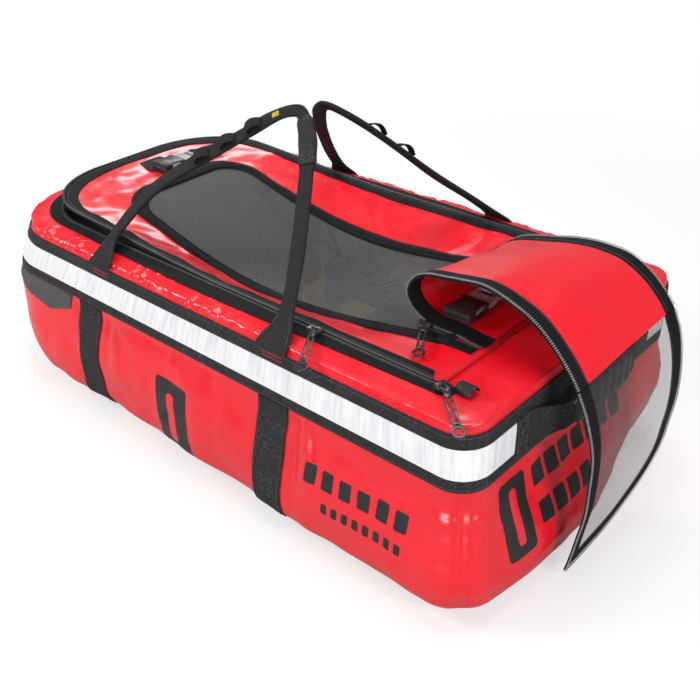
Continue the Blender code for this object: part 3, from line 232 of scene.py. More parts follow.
def loftRings(name, rings, material, closedEnds=True, sharp=40):  # a skin through closed rings
    rings = np.asarray(rings, float)
    rows, count = rings.shape[:2]
    around = np.linalg.norm(np.roll(rings, -1, axis=1) - rings, axis=2).mean(axis=0)
    along = np.linalg.norm(np.diff(rings.mean(axis=1), axis=0), axis=1)
    u = np.concatenate([[0], np.cumsum(along)])
    v = np.concatenate([[0], np.cumsum(around)])[:count]
    uv = np.stack(np.broadcast_arrays(u[:, None], v[None, :]), axis=-1).reshape(-1, 2)
    faces = gridFaces(rows, count, True)
    if closedEnds:
        faces.append(tuple(range(count)))
        faces.append(tuple(range((rows - 1) * count, rows * count)))
    return faceOut(makeObject(name, rings.reshape(-1, 3), faces, material, uv, sharp=sharp))


def sectionRing(centre, across, out, width, thick, steps=18, power=0.45):  # a rounded strap's section
    angle = 2 * np.pi * (np.arange(steps) + 0.5) / steps
    a = np.sign(np.cos(angle)) * np.abs(np.cos(angle)) ** power * width / 2
    b = np.sign(np.sin(angle)) * np.abs(np.sin(angle)) ** power * thick / 2
    return centre + across * a[:, None] + out * b[:, None]


def brickFaces(offset):
    return [tuple(offset + i for i in face) for face in
            ((0, 3, 2, 1), (4, 5, 6, 7), (0, 1, 5, 4), (1, 2, 6, 5), (2, 3, 7, 6), (3, 0, 4, 7))]


def bricks(name, places, size, material, taper=0.75):
    # many small blocks as one piece: places hold centre, along, across and up
    long, wide, tall = (value / 2 for value in size)
    points, faces = [], []
    for centre, along, across, up in places:
        faces += brickFaces(len(points))
        for z, grow in ((0.0, 1.0), (2 * tall, taper)):
            for x, y in ((-1, -1), (1, -1), (1, 1), (-1, 1)):
                points.append(centre + along * (x * long * grow) + across * (y * wide * grow) + up * z)
    return faceOut(makeObject(name, points, faces, material, sharp=None))


def alongLine(line, normals, pitch, start=0.0, lift=0.0):
    # places for bricks at even steps along a line, lifted off it
    run = runOf(line)
    at = np.arange(start + pitch / 2, run[-1], pitch)
    up = unit(readRows(at, run, normals))
    along = unit(readRows(at + pitch / 4, run, line) - readRows(at - pitch / 4, run, line))
    across = unit(np.cross(up, along))
    return list(zip(readRows(at, run, line) + up * lift, along, across, up))


def roundBox(size, centre, bevel, segments=2):  # a block with rounded edges, as a bmesh
    work = bmesh.new()
    bmesh.ops.create_cube(work, size=1.0)
    for vert in work.verts:
        vert.co = Vector((vert.co.x * size[0], vert.co.y * size[1], vert.co.z * size[2]))
    bmesh.ops.bevel(work, geom=list(work.edges), offset=bevel, segments=segments, affect="EDGES", profile=0.5)
    bmesh.ops.translate(work, verts=work.verts, vec=Vector(centre))
    return work


def joinParts(name, parts, material, place=None):  # several bmesh parts as one object
    mesh = bpy.data.meshes.new(name)
    whole = bmesh.new()
    for part in parts:
        part.to_mesh(mesh)
        part.free()
        whole.from_mesh(mesh)
    if place is not None:
        bmesh.ops.transform(whole, matrix=place, verts=whole.verts)
    whole.to_mesh(mesh)
    whole.free()
    return dressMesh(name, mesh, material, 35)


def labelPiece(stands):  # hides the solids it stands for
    if stands:
        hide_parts(*stands)


def finishPiece(thing, body, stands=()):
    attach(thing, body)
    labelPiece(stands)


# Materials
def addNode(tree, kind, sockets=(), **settings):  # a shader node with its settings and its inputs
    made = tree.nodes.new("ShaderNode" + kind)
    for name, value in settings.items():
        setattr(made, name, value)
    for name, value in dict(sockets).items():
        made.inputs[name].default_value = value
    return made


def scaled(colour, share, lift=0.0):  # a colour made lighter or darker
    return tuple(min(1.0, value * share + lift) for value in colour)


class Shader:  # a Principled material and short ways to add nodes to it
    def __init__(self, name, colour, roughness, metallic=0.0):
        self.material = bpy.data.materials.new(name)
        self.material.use_nodes = True
        self.tree = self.material.node_tree
        self.principled = self.tree.nodes["Principled BSDF"]
        self.set("Base Color", (*colour, 1.0))
        self.set("Roughness", roughness)
        self.set("Metallic", metallic)
        self.coords = self.node("TexCoord")

    def set(self, socket, value):
        self.principled.inputs[socket].default_value = value

    def link(self, output, target):
        self.tree.links.new(output, target)

    def node(self, kind, sockets=(), **settings):
        return addNode(self.tree, kind, sockets, **settings)

    def noise(self, scale, detail=4.0, roughness=0.5, coords="Object", stretch=None):
        texture = self.node("TexNoise", {"Scale": scale, "Detail": detail, "Roughness": roughness})
        source = self.coords.outputs[coords]
        if stretch:
            mapping = self.node("Mapping", {"Scale": stretch})
            self.link(source, mapping.inputs["Vector"])
            source = mapping.outputs["Vector"]
        self.link(source, texture.inputs["Vector"])
        return texture.outputs["Fac"]

    def wave(self, pitch, angle=0.0):  # stripes of a pitch in metres, turned by an angle in degrees
        mapping = self.node("Mapping", {"Rotation": (0, 0, math.radians(angle))})
        self.link(self.coords.outputs["UV"], mapping.inputs["Vector"])
        scale = 0.31416 / pitch  # stripes lie pi / 10 apart at scale 1
        texture = self.node("TexWave", {"Scale": scale}, wave_type="BANDS", bands_direction="X")
        self.link(mapping.outputs["Vector"], texture.inputs["Vector"])
        return texture.outputs["Fac"]

    def net(self, pitch):  # two waves crossed at a right angle, high where their ridges meet
        return self.maths("MULTIPLY", self.wave(pitch), self.wave(pitch, 90))

    def maths(self, operation, a, b=0.0, clamp=False):
        made = self.node("Math", operation=operation, use_clamp=clamp)
        for socket, value in zip(made.inputs, (a, b)):
            if isinstance(value, (int, float)):
                socket.default_value = value
            else:
                self.link(value, socket)
        return made.outputs[0]

    def range(self, value, low, high, fromLow=0.0, fromHigh=1.0):
        ends = {"From Min": fromLow, "From Max": fromHigh, "To Min": low, "To Max": high}
        made = self.node("MapRange", ends)
        self.link(value, made.inputs["Value"])
        return made.outputs["Result"]

    def blend(self, share, first, second):
        made = self.node("Mix", data_type="RGBA")
        self.link(share, made.inputs[0])
        for socket, value in ((made.inputs[6], first), (made.inputs[7], second)):
            if isinstance(value, tuple):
                socket.default_value = (*value, 1.0)
            else:
                self.link(value, socket)
        return made.outputs[2]

    def colour(self, output):
        self.link(output, self.principled.inputs["Base Color"])

    def rough(self, output):
        self.link(output, self.principled.inputs["Roughness"])

    def relief(self, layers):  # bump from several heights, each as (height, strength, distance)
        last = None
        for height, strength, distance in layers:
            made = self.node("Bump", {"Strength": strength, "Distance": distance})
            self.link(height, made.inputs["Height"])
            if last:
                self.link(last, made.inputs["Normal"])
            last = made.outputs["Normal"]
        self.link(last, self.principled.inputs["Normal"])


def makeTarpaulin(colour):
    # coated fabric: a soft gloss, a faint grid of the yarn under the coating and fine creases
    tarp = Shader("redTarpaulin", colour, 0.28)
    cloud = tarp.noise(9.0, 3.0, 0.5)
    tarp.colour(tarp.blend(tarp.range(cloud, 0.0, 0.55, 0.42, 0.72), colour, scaled(colour, 0.82, 0.012)))
    tarp.rough(tarp.range(tarp.noise(28.0, 3.0, 0.5), 0.24, 0.38, 0.3, 0.7))
    yarn = tarp.net(0.0011)
    creases = tarp.noise(46.0, 3.0, 0.55)
    dents = tarp.noise(14.0, 2.0, 0.5)
    tarp.relief([(dents, 0.36, 0.004), (creases, 0.22, 0.0014), (yarn, 0.18, 0.0001)])
    tarp.set("Coat Weight", 0.30)
    tarp.set("Coat Roughness", 0.10)
    return tarp.material


def makeWebbing(name, colour, fleck, pitch=0.0022, flecks=0.5):
    # woven strap: slanted ribs both ways, with worn light flecks
    web = Shader(name, colour, 0.78)
    ribs = web.maths("MULTIPLY", web.wave(pitch, 32), web.wave(pitch * 0.55, -58))
    worn = web.range(web.noise(420.0, 3.0, 0.7), 0.0, flecks, 0.50, 0.68)
    patches = web.range(web.noise(30.0, 3.0, 0.6), 0.25, 1.0, 0.35, 0.65)
    share = web.maths("MULTIPLY", worn, patches)
    ribShade = web.maths("MULTIPLY", ribs, 0.32)
    web.colour(web.blend(web.maths("ADD", share, ribShade, clamp=True), colour, fleck))
    web.relief([(ribs, 0.55, 0.0005), (web.noise(700.0, 2.0), 0.25, 0.0003)])
    web.set("Specular IOR Level", 0.30)
    return web.material


def makeZipTape():
    # fine herringbone tape
    tape = Shader("blackZipTape", (0.009, 0.009, 0.010), 0.72)
    twill = tape.maths("MULTIPLY", tape.wave(0.0016, 40), tape.wave(0.0016, -40))
    tape.colour(tape.blend(tape.maths("MULTIPLY", twill, 0.6), (0.003, 0.003, 0.004), (0.020, 0.020, 0.022)))
    tape.relief([(twill, 0.5, 0.0003), (tape.noise(35.0, 3.0), 0.3, 0.002)])
    tape.set("Specular IOR Level", 0.18)
    return tape.material


def makeReflective():
    # silver tape: pale, with faint upright streaks and small cells
    tape = Shader("reflectiveTape", (0.86, 0.87, 0.89), 0.33)
    streak = tape.range(tape.noise(1.0, 4.0, 0.6, "UV", (160.0, 12.0, 1.0)), 0.0, 1.0, 0.42, 0.66)
    cells = tape.maths("MULTIPLY", tape.wave(0.0026, 60), tape.wave(0.0026, -60))
    tape.colour(tape.blend(streak, (0.90, 0.90, 0.91), (0.70, 0.71, 0.77)))
    tape.rough(tape.range(streak, 0.28, 0.42))
    tape.relief([(cells, 0.2, 0.0002), (tape.noise(26.0, 3.0), 0.35, 0.003)])
    return tape.material


def makeMesh(name, thread, pitch, isOpen):
    # net: round holes in a square grid, cut out of the sheet by its alpha where it is open, and painted near
    # black as painted shade where it is not
    net = Shader(name, thread, 0.55)
    holes = net.maths("MAXIMUM", net.wave(pitch), net.wave(pitch, 90))
    knots = net.range(net.net(pitch), 0.0, 1.0)
    # the knots where the threads cross are painted lighter: painted glints on the net
    net.colour(net.blend(knots, scaled(thread, 0.7), scaled(thread, 1.5)))
    if isOpen:
        net.link(net.range(holes, 0.0, 1.0, 0.82, 0.94), net.principled.inputs["Alpha"])
    else:
        # the holes are painted near black: painted shade seen through them
        net.colour(net.blend(net.range(holes, 0.0, 1.0, 0.70, 0.90), scaled(thread, 0.08), thread))
    net.relief([(holes, 0.6, 0.0006)])
    return net.material


def makeFilm():
    # clear flexible film, a little cloudy
    film = Shader("clearFilm", (0.06, 0.06, 0.062), 0.16)
    film.rough(film.range(film.noise(40.0, 4.0), 0.10, 0.26, 0.3, 0.7))
    film.relief([(film.noise(16.0, 2.0), 0.25, 0.004)])
    film.set("Alpha", 0.30)
    film.set("Coat Weight", 0.4)
    return film.material


def makePlastic(name, colour, roughness):
    # moulded plastic: fine spark texture and slight handling marks
    plastic = Shader(name, colour, roughness)
    marks = plastic.noise(180.0, 5.0, 0.7)
    plastic.rough(plastic.range(marks, roughness - 0.10, roughness + 0.12, 0.35, 0.65))
    worn = plastic.range(plastic.noise(60.0, 4.0), 0.0, 0.6, 0.5, 0.75)
    plastic.colour(plastic.blend(worn, colour, scaled(colour, 1.35, 0.006)))
    plastic.relief([(plastic.noise(1500.0, 2.0), 0.12, 0.0002)])
    return plastic.material


def makeZipMetal():
    # black enamel over a die casting, rubbed thin on its edges
    metal = Shader("zipMetal", (0.016, 0.016, 0.018), 0.24, 0.35)
    geometry = metal.node("NewGeometry")
    edge = metal.range(geometry.outputs["Pointiness"], 0.0, 1.0, 0.53, 0.62)
    rubbed = metal.maths("MULTIPLY", edge, metal.range(metal.noise(240.0, 4.0), 0.0, 1.0, 0.4, 0.7))
    metal.colour(metal.blend(rubbed, (0.014, 0.014, 0.016), (0.20, 0.20, 0.21)))
    metal.rough(metal.range(metal.noise(300.0, 3.0), 0.16, 0.34))
    return metal.material


def makeCoil(name, dark, pale):
    # the nylon teeth of the zips
    coil = Shader(name, dark, 0.30)
    coil.rough(coil.range(coil.noise(500.0, 2.0), 0.42, 0.60))
    coil.colour(coil.blend(coil.noise(260.0, 2.0), dark, pale))
    return coil.material


def makeLining(colour):
    # plain woven lining cloth
    cloth = Shader("darkLining", colour, 0.85)
    weave = cloth.net(0.0012)
    cloth.colour(cloth.blend(cloth.maths("MULTIPLY", weave, 0.7), colour, scaled(colour, 1.6)))
    cloth.relief([(weave, 0.4, 0.0004), (cloth.noise(24.0, 4.0), 0.4, 0.003)])
    cloth.set("Sheen Weight", 0.3)
    return cloth.material


def makeThread(name, colour):
    thread = Shader(name, colour, 0.6)
    thread.colour(thread.blend(thread.noise(900.0, 2.0), colour, scaled(colour, 1.5, 0.01)))
    return thread.material


def makeInk():
    # screen print on the coated cloth
    ink = Shader("blackInk", (0.014, 0.014, 0.015), 0.38)
    worn = ink.range(ink.noise(120.0, 6.0, 0.7), 0.0, 0.5, 0.62, 0.80)
    ink.colour(ink.blend(worn, (0.012, 0.012, 0.013), (0.10, 0.012, 0.014)))
    ink.rough(ink.range(ink.noise(60.0, 3.0), 0.30, 0.48))
    ink.relief([(ink.noise(14.0, 2.0), 0.2, 0.003)])
    return ink.material


colours = {
    "red": (0.80, 0.006, 0.018), "redThread": (0.55, 0.01, 0.015),
    "black": (0.007, 0.007, 0.008), "blackFleck": (0.110, 0.110, 0.115), "slingFleck": (0.045, 0.045, 0.048),
    "net": (0.160, 0.160, 0.165), "vent": (0.10, 0.10, 0.105), "lining": (0.060, 0.060, 0.066),
    "coil": (0.022, 0.022, 0.025), "coilEdge": (0.060, 0.060, 0.066),
    # the pale coil colours are painted highlights: the flap's black teeth are made light to stand for their
    # glints
    "paintedGlintCoil": (0.10, 0.10, 0.105), "paintedGlintCoilEdge": (0.42, 0.42, 0.43),
    "blackPlastic": (0.016, 0.016, 0.017), "greyPlastic": (0.36, 0.38, 0.42),
    # the khaki is its own colour lifted lighter: partly painted light for the little light inside the tub
    "khaki": (0.34, 0.25, 0.07), "khakiFleck": (0.52, 0.42, 0.18), "khakiThread": (0.19, 0.15, 0.06),
    # a lighter copy of the khaki: painted light for the strap ends in the dim inside
    "paintedLitKhaki": (0.62, 0.46, 0.12), "paintedLitKhakiFleck": (0.70, 0.55, 0.20), "darkThread": (0.05, 0.05, 0.055),
}
tarpaulin = makeTarpaulin(colours["red"])
webbing = makeWebbing("blackWebbing", colours["black"], colours["blackFleck"], flecks=0.75)
slingWebbing = makeWebbing("slingWebbing", colours["black"], colours["slingFleck"], 0.0018)
zipTape = makeZipTape()
reflective = makeReflective()
meshCloth = makeMesh("greyMesh", colours["net"], 0.0034, True)
# the vent's holes are painted near black, as painted shade
ventCloth = makeMesh("ventMesh", colours["vent"], 0.0020, False)
film = makeFilm()
blackPlastic = makePlastic("blackPlastic", colours["blackPlastic"], 0.36)
greyPlastic = makePlastic("greyPlastic", colours["greyPlastic"], 0.36)
zipMetal = makeZipMetal()
zipCoil = makeCoil("zipCoil", colours["coil"], colours["coilEdge"])
# khaki webbing, set lighter than its own tone as painted light for the dim inside
khaki = makeWebbing("khakiWebbing", colours["khaki"], colours["khakiFleck"], 0.0020, 0.7)
lining = makeLining(colours["lining"])
# the flap's teeth are painted pale, a painted highlight for the glints along them
paintedGlintCoil = makeCoil("paintedGlintZipCoil", colours["paintedGlintCoil"], colours["paintedGlintCoilEdge"])
# a lit copy of the khaki webbing, painted light for the dim inside
paintedLitKhaki = makeWebbing("paintedLitKhaki", colours["paintedLitKhaki"], colours["paintedLitKhakiFleck"])
darkThread = makeThread("darkThread", colours["darkThread"])
redThread = makeThread("redThread", colours["redThread"])
ink = makeInk()
print("materials made")


# Tub
tub = {
    "leftTuck": 0.015, "bulge": 0.0255, "endBulge": 0.017, "endBow": 0.018,
    "sideTuckShare": 0.4, "leftCorner": 0.100, "rightCorner": 0.036, "leftLean": 0.034,
    "leftCornerGrowth": 0.026, "shoulderInset": 0.0116, "shoulderDrop": 0.006,
    "mouthLeftInset": 0.066, "mouthLeftCorner": 0.124, "mouthRightCorner": 0.012,
    # height, then shares of the tuck, the bulge, the end bulge and the bow, and the corner radii
    "lower": [
        (bag["floor"], 4.4, -0.6, -1.0, 1.0, 0.110, 0.050),
        (0.008, 2.6, 0.2, 0.1, 1.0, 0.115, 0.050),
        (0.022, 1.6, 0.85, 0.7, 1.0, 0.115, 0.046),
        (0.050, 1.0, 1.0, 1.0, 1.0, 0.110, 0.042),
        (0.090, 0.5, 0.85, 0.7, 0.8, 0.105, 0.040),
        (0.130, 0.2, 0.42, 0.25, 0.3, 0.100, 0.038),
    ],
    "rowSteps": 9,
    "wall": 0.0018,
}
ringSteps = {"end": 16, "rightCorner": 20, "side": 250, "leftCorner": 34, "leftEnd": 28}


def lowerLevel(z, tuckShare, bulgeShare, endShare, bowShare, cornerLeft, cornerRight):
    tuck = tuckShare * tub["leftTuck"]
    half = bag["halfWidth"] + bulgeShare * tub["bulge"]
    return [z, -bag["halfLength"] + tuck, bag["halfLength"] + endShare * tub["endBulge"],
            half - tuck * tub["sideTuckShare"], half, cornerLeft, cornerRight, bowShare * tub["endBow"]]


def bandLevel(z, inset=0.0, rise=0.0):
    share = (z - bag["bandBottom"]) / (bag["bandTop"] - bag["bandBottom"])
    left = -bag["halfLength"] + tub["leftLean"] * share
    half = bag["halfWidth"] - inset
    return [z + rise, left + inset, bag["halfLength"] - inset, half, half,
            tub["leftCorner"] + tub["leftCornerGrowth"] * share - inset, tub["rightCorner"] - inset, 0.0]


mouthLevel = [bag["rim"], -bag["halfLength"] + tub["mouthLeftInset"], bag["seam"], bag["mouthHalf"],
              bag["mouthHalf"], tub["mouthLeftCorner"], tub["mouthRightCorner"], 0.0]
shoulderRise = bag["rim"] - tub["shoulderDrop"] - bag["bandTop"]


def ringPoints(level):  # anticlockwise from the middle of the right end
    z, left, right, halfLeft, halfRight, cornerLeft, cornerRight, bow = level

    def line(start, end, count):
        t = np.arange(count)[:, None] / count
        return np.array(start) * (1 - t) + np.array(end) * t

    def corner(x, y, radius, first, last, count):
        angle = np.radians(first + (last - first) * np.arange(count) / count)
        return np.stack([x + radius * np.cos(angle), y + radius * np.sin(angle)], axis=1)

    rightIn, leftIn = right - cornerRight, left + cornerLeft
    rightY, leftY = halfRight - cornerRight, halfLeft - cornerLeft
    steps = ringSteps
    parts = [
        line((right, 0), (right, rightY), steps["end"]),
        corner(rightIn, rightY, cornerRight, 0, 90, steps["rightCorner"]),
        line((rightIn, halfRight), (leftIn, halfLeft), steps["side"]),
        corner(leftIn, leftY, cornerLeft, 90, 180, steps["leftCorner"]),
        line((left, leftY), (left, -leftY), steps["leftEnd"]),
        corner(leftIn, -leftY, cornerLeft, 180, 270, steps["leftCorner"]),
        line((leftIn, -halfLeft), (rightIn, -halfRight), steps["side"]),
        corner(rightIn, -rightY, cornerRight, 270, 360, steps["rightCorner"]),
        line((right, -rightY), (right, 0), steps["end"]),
    ]
    flat = np.concatenate(parts)
    share = np.maximum(0.0, 1 - (flat[:, 1] / halfRight) ** 2)
    reach = np.maximum(0.0, (np.abs(flat[:, 0]) - abs(right) / 2) / (abs(right) / 2))
    flat[:, 0] += bow * share * reach * np.where(flat[:, 0] > 0, 1, 0)
    return np.column_stack([flat[:, 0] + midX, flat[:, 1], np.full(len(flat), z)])


# Columns where the parts of the ring start
halfRing = ["end", "rightCorner", "side", "leftCorner"]
columnStarts = np.cumsum([0] + [ringSteps[part] for part in halfRing + ["leftEnd"] + halfRing[::-1]])
columnCount = int(columnStarts[-1])
columns = np.arange(columnCount)
farSide, nearSide = (int(columnStarts[2]), int(columnStarts[3])), (int(columnStarts[6]), int(columnStarts[7]))
rightCornerFar = (columnStarts[1] + columnStarts[2]) / 2
rightCornerNear = (columnStarts[7] + columnStarts[8]) / 2


def tubGrid():  # rows from the base's edge to the rim, and the height of each
    sections = [lowerLevel(*row) for row in tub["lower"]]
    sections += [bandLevel(bag["bandBottom"]), bandLevel(bag["bandTop"])]
    sections += [bandLevel(bag["bandTop"], tub["shoulderInset"], shoulderRise), mouthLevel]
    levels = catmull(sections, tub["rowSteps"])
    grid = np.array([ringPoints(level) for level in levels])
    return grid, levels[:, 0]


folds = {
    # long creases on the side walls: x at the top and the foot, height of the top and the foot, depth
    "creases": [(0.205, 0.212, 0.168, 0.055, -0.0042), (0.222, 0.246, 0.168, 0.060, 0.0032),
                (-0.16, -0.150, 0.165, 0.080, -0.0018), (0.060, 0.052, 0.168, 0.110, -0.0016),
                (-0.020, -0.028, 0.168, 0.120, 0.0014), (0.330, 0.350, 0.166, 0.100, -0.0016)],
    "creaseWidth": 0.0085,
    "sideLumps": 0.0040, "sideLumpSize": (0.11, 0.11, 0.075),
    "fineLumps": 0.0014, "fineLumpSize": 0.034,
    # the far lower corner: how far it's tucked in, and where the tuck starts and how it grows in x, y and z
    "farTuck": 0.034, "tuckStart": (0.22, -0.03, 0.150), "tuckLength": (0.20, 0.22, 0.13),
    # the strip between the band and the mouth
    "gathers": 0.0030, "gatherPitch": 0.0095, "gatherLean": 0.25, "puff": 0.0060, "puffLength": 0.055,
    "farStrip": 0.6, "stripEnd": 0.37,
    # x and side of each sling's foot, where the strip lies flatter, and where it's low for the sliders
    "slingBases": [(-0.156, -1), (0.176, -1), (-0.112, 1), (0.186, 1)],
    "baseCalm": 0.045, "calm": 1.7, "sliderDip": 0.0014, "sliderStart": 0.14, "sliderEnd": 0.43,
    # the seams of the right corners: depth and width of the pinch, and the ripples beside it
    "cornerPinch": 0.0040, "pinchWidth": 2.2, "ripple": 0.0016, "rippleReach": 4.5,
}


def tuckFar(grid):  # slack cloth tucked in at the far lower corner
    (x0, y0, z0), (xLength, yLength, zLength) = folds["tuckStart"], folds["tuckLength"]
    share = smoothStep((grid[..., 1] - y0) / yLength) * smoothStep((z0 - grid[..., 2]) / zLength)
    grid[..., 0] -= folds["farTuck"] * share * smoothStep((grid[..., 0] - midX - x0) / xLength)


def addCreases(push, x, y, z):
    for top, low, high, foot, depth in folds["creases"]:
        share = np.clip((high - z) / (high - foot), 0, 1)
        line = top + (low - top) * share
        fade = smoothStep((z - foot) / 0.04) * smoothStep((high + 0.004 - z) / 0.012)
        wide = folds["creaseWidth"] * (0.6 + 0.9 * share)
        push += depth * bump(x - line, wide) * fade * (np.abs(y) > 0.15)


def addStrip(push, x, y, z):  # gathers and puffs between the band and the mouth
    stripShare = smoothStep((z - bag["bandTop"]) / 0.003) * smoothStep((bag["rim"] - 0.0020 - z) / 0.004)
    inStrip = (z > bag["bandTop"] + 0.0004) & (x < folds["stripEnd"])
    across = (x + folds["gatherLean"] * z) / folds["gatherPitch"]
    gathers = lumps(np.stack([across, y * 0 + 3.1, z * 90], axis=-1), 1.0, 3)
    puff = 0.5 + 0.5 * lumps(np.stack([x / folds["puffLength"], np.sign(y), z * 0], axis=-1), 1.0, 8)
    started = smoothStep((x - folds["sliderStart"]) / 0.05)
    sliderRun = started * smoothStep((folds["sliderEnd"] - x) / 0.04) * (y < 0)
    calm = folds["calm"] * started * (y < 0)
    for base, side in folds["slingBases"]:
        calm = np.maximum(calm, folds["calm"] * bump(x - base, folds["baseCalm"]) * (np.sign(y) == side))
    gathered = folds["gathers"] * gathers * np.maximum(0.1, 1 - 0.55 * calm)
    puffed = folds["puff"] * (puff - 0.45 * calm) * np.maximum(0.3, 1 - 0.5 * calm)
    push += inStrip * stripShare * (gathered + puffed) * np.where(y > 0, folds["farStrip"], 1.0)
    push -= folds["sliderDip"] * sliderRun * stripShare


def addCorners(push, y, z, below):  # the pinched seams of the right corners
    for seam in (rightCornerFar, rightCornerNear):
        pinch = bump(columns - seam, folds["pinchWidth"])[None, :]
        near = bump(columns - seam, folds["pinchWidth"] * folds["rippleReach"])[None, :]
        ripple = lumps(np.stack([z * 95, y * 0 + seam, z * 0], axis=-1), 1.0, 6)
        push += below * (-folds["cornerPinch"] * pinch + folds["ripple"] * ripple * near * (1 - pinch))


def dressTub(grid):  # swells, creases and gathers the tub's cloth
    grid = grid.copy()
    tuckFar(grid)
    normals = gridNormals(grid, wrap=True)
    x, y, z = grid[..., 0] - midX, grid[..., 1], grid[..., 2]
    below = smoothStep((bag["bandBottom"] - 0.002 - z) / 0.016) * smoothStep((z - 0.006) / 0.02)
    push = folds["sideLumps"] * lumps(grid, folds["sideLumpSize"], 2) * below
    push += folds["fineLumps"] * lumps(grid, folds["fineLumpSize"], 5) * below
    addCreases(push, x, y, z)
    addStrip(push, x, y, z)
    addCorners(push, y, z, below)
    return grid + normals * push[..., None]


tubSurface, tubHeights = tubGrid()
tubPlain = tubSurface.copy()
tubSurface = dressTub(tubSurface)
tubNormals = gridNormals(tubSurface, wrap=True)


def rowAt(z):
    return np.interp(z, tubHeights, np.arange(len(tubHeights)))


def sideColumn(row, x, side):  # the column on the near or far wall that lies at x
    start, end = nearSide if side < 0 else farSide
    span = np.arange(start - 20, end + 21)
    line = sampleGrid(tubPlain, np.full(len(span), float(row)), span.astype(float) % columnCount, True)[:, 0]
    order = np.argsort(line)
    return float(np.interp(x + midX, line[order], span[order]))


def onWall(xs, zs, side):  # points and normals on a long wall, rows by height
    points, normals = [], []
    for z in zs:
        row = rowAt(z)
        place = np.array([sideColumn(row, x, side) for x in xs])
        points.append(sampleGrid(tubSurface, np.full(len(xs), row), place, True))
        normals.append(sampleGrid(tubNormals, np.full(len(xs), row), place, True))
    return np.array(points), unit(np.array(normals))


def readSurface(surface, normals, rows, at):  # points and normals of a closed grid, rows by rows
    points = np.array([sampleGrid(surface, row, at, True) for row in rows])
    return points, unit(np.array([sampleGrid(normals, row, at, True) for row in rows]))


def alongRing(surface, normals, rows, first, last):  # the same between two columns, or all the way round
    closed = last is None
    last = columnCount if closed else last
    steps = int(round(last - first))
    at = first + (last - first) * np.arange(steps) / (steps if closed else steps - 1)
    return readSurface(surface, normals, [np.full(steps, row) for row in rows], at)


def buildTub():
    base = tubSurface[0]
    middle = base.mean(axis=0)
    inner = [middle + (base - middle) * share for share in (0.04, 0.5, 0.9, 0.98)]
    for ring in inner:
        ring[:, 2] = bag["floor"]
    skin = np.concatenate([np.array(inner), tubSurface])
    uv = gridUv(skin, True).reshape(-1, 2)
    rows, count = skin.shape[:2]
    faces = gridFaces(rows, count, True)
    faces.append(tuple(reversed(range(count))))
    shell = makeObject("tubSkin", skin.reshape(-1, 3), faces, tarpaulin, uv)
    shell.data.materials.append(lining)
    solid = shell.modifiers.new("wall", "SOLIDIFY")
    solid.thickness = tub["wall"]
    solid.offset = -1
    solid.material_offset = 1
    solid.material_offset_rim = 0
    finishPiece(shell, "bag", ["tub_shell"])


buildTub()
print("tub sewn")


# Band, reflective tape and under-straps
trim = {
    "bandThick": 0.0020, "tapeThick": 0.0009, "tapeLow": 0.187, "tapeHigh": 0.227,
    "tapeEndNear": 0.142, "tapeEndFar": 0.150, "strapThick": 0.0018, "strapFoot": 0.020, "lift": 0.0003,
    # the vent's depth, its share at five knots, x of its point and its end, and the height they're read at
    "ventDepth": 0.040, "ventShares": (0.35, 0.55, 0.75, 0.92, 0.55), "ventPoint": -0.305,
    "ventEnd": -0.250, "ventLevel": 0.165, "ventGap": 0.0012,
}


def ringPatch(zs, first=0.0, last=None):  # points and normals round the tub, at heights
    return alongRing(tubSurface, tubNormals, [rowAt(z) for z in zs], first, last)


def endColumn(y):  # the column at a place across the right end
    return (y / (bag["halfWidth"] - tub["rightCorner"])) * ringSteps["end"]


def buildBand():
    edge = 0.0004
    points, normals = ringPatch(np.linspace(bag["bandBottom"] + edge, bag["bandTop"] - edge, 15))
    band = slab("bandWebbing", points, webbing, trim["lift"], trim["bandThick"], normals, wrap=True)
    finishPiece(band, "bag", ["band_webbing"])
    first, last = endColumn(trim["tapeEndFar"]), columnCount - endColumn(trim["tapeEndNear"])
    points, normals = ringPatch(np.linspace(trim["tapeLow"], trim["tapeHigh"], 9), first, last)
    lift = trim["lift"] + trim["bandThick"]
    tape = slab("reflectiveTape", points, reflective, lift, trim["tapeThick"], normals)
    finishPiece(tape, "bag", ["reflective_tape"])


def buildUnderStrap(name, low, high, node):
    xs = np.linspace(low.x, high.x, 11) - midX
    zs = np.concatenate([np.linspace(bag["bandBottom"] - 0.001, trim["strapFoot"], 34),
                         np.linspace(0.017, 0.0034, 8)])
    near, nearNormals = onWall(xs, zs, -1)
    far, farNormals = onWall(xs, zs, 1)
    under = np.linspace(near[-1, :, 1].max() + 0.008, far[-1, :, 1].min() - 0.008, 12)
    floor = np.array([[(x + midX, y, bag["floor"]) for x in xs] for y in under])
    down = np.broadcast_to([0.0, 0.0, -1.0], floor.shape)
    points = np.concatenate([near, floor, far[::-1]]).transpose(1, 0, 2)
    normals = np.concatenate([nearNormals, down, farNormals[::-1]]).transpose(1, 0, 2)
    strap = slab(name, points, webbing, 0.0004, trim["strapThick"], normals)
    finishPiece(strap, "bag", [node])


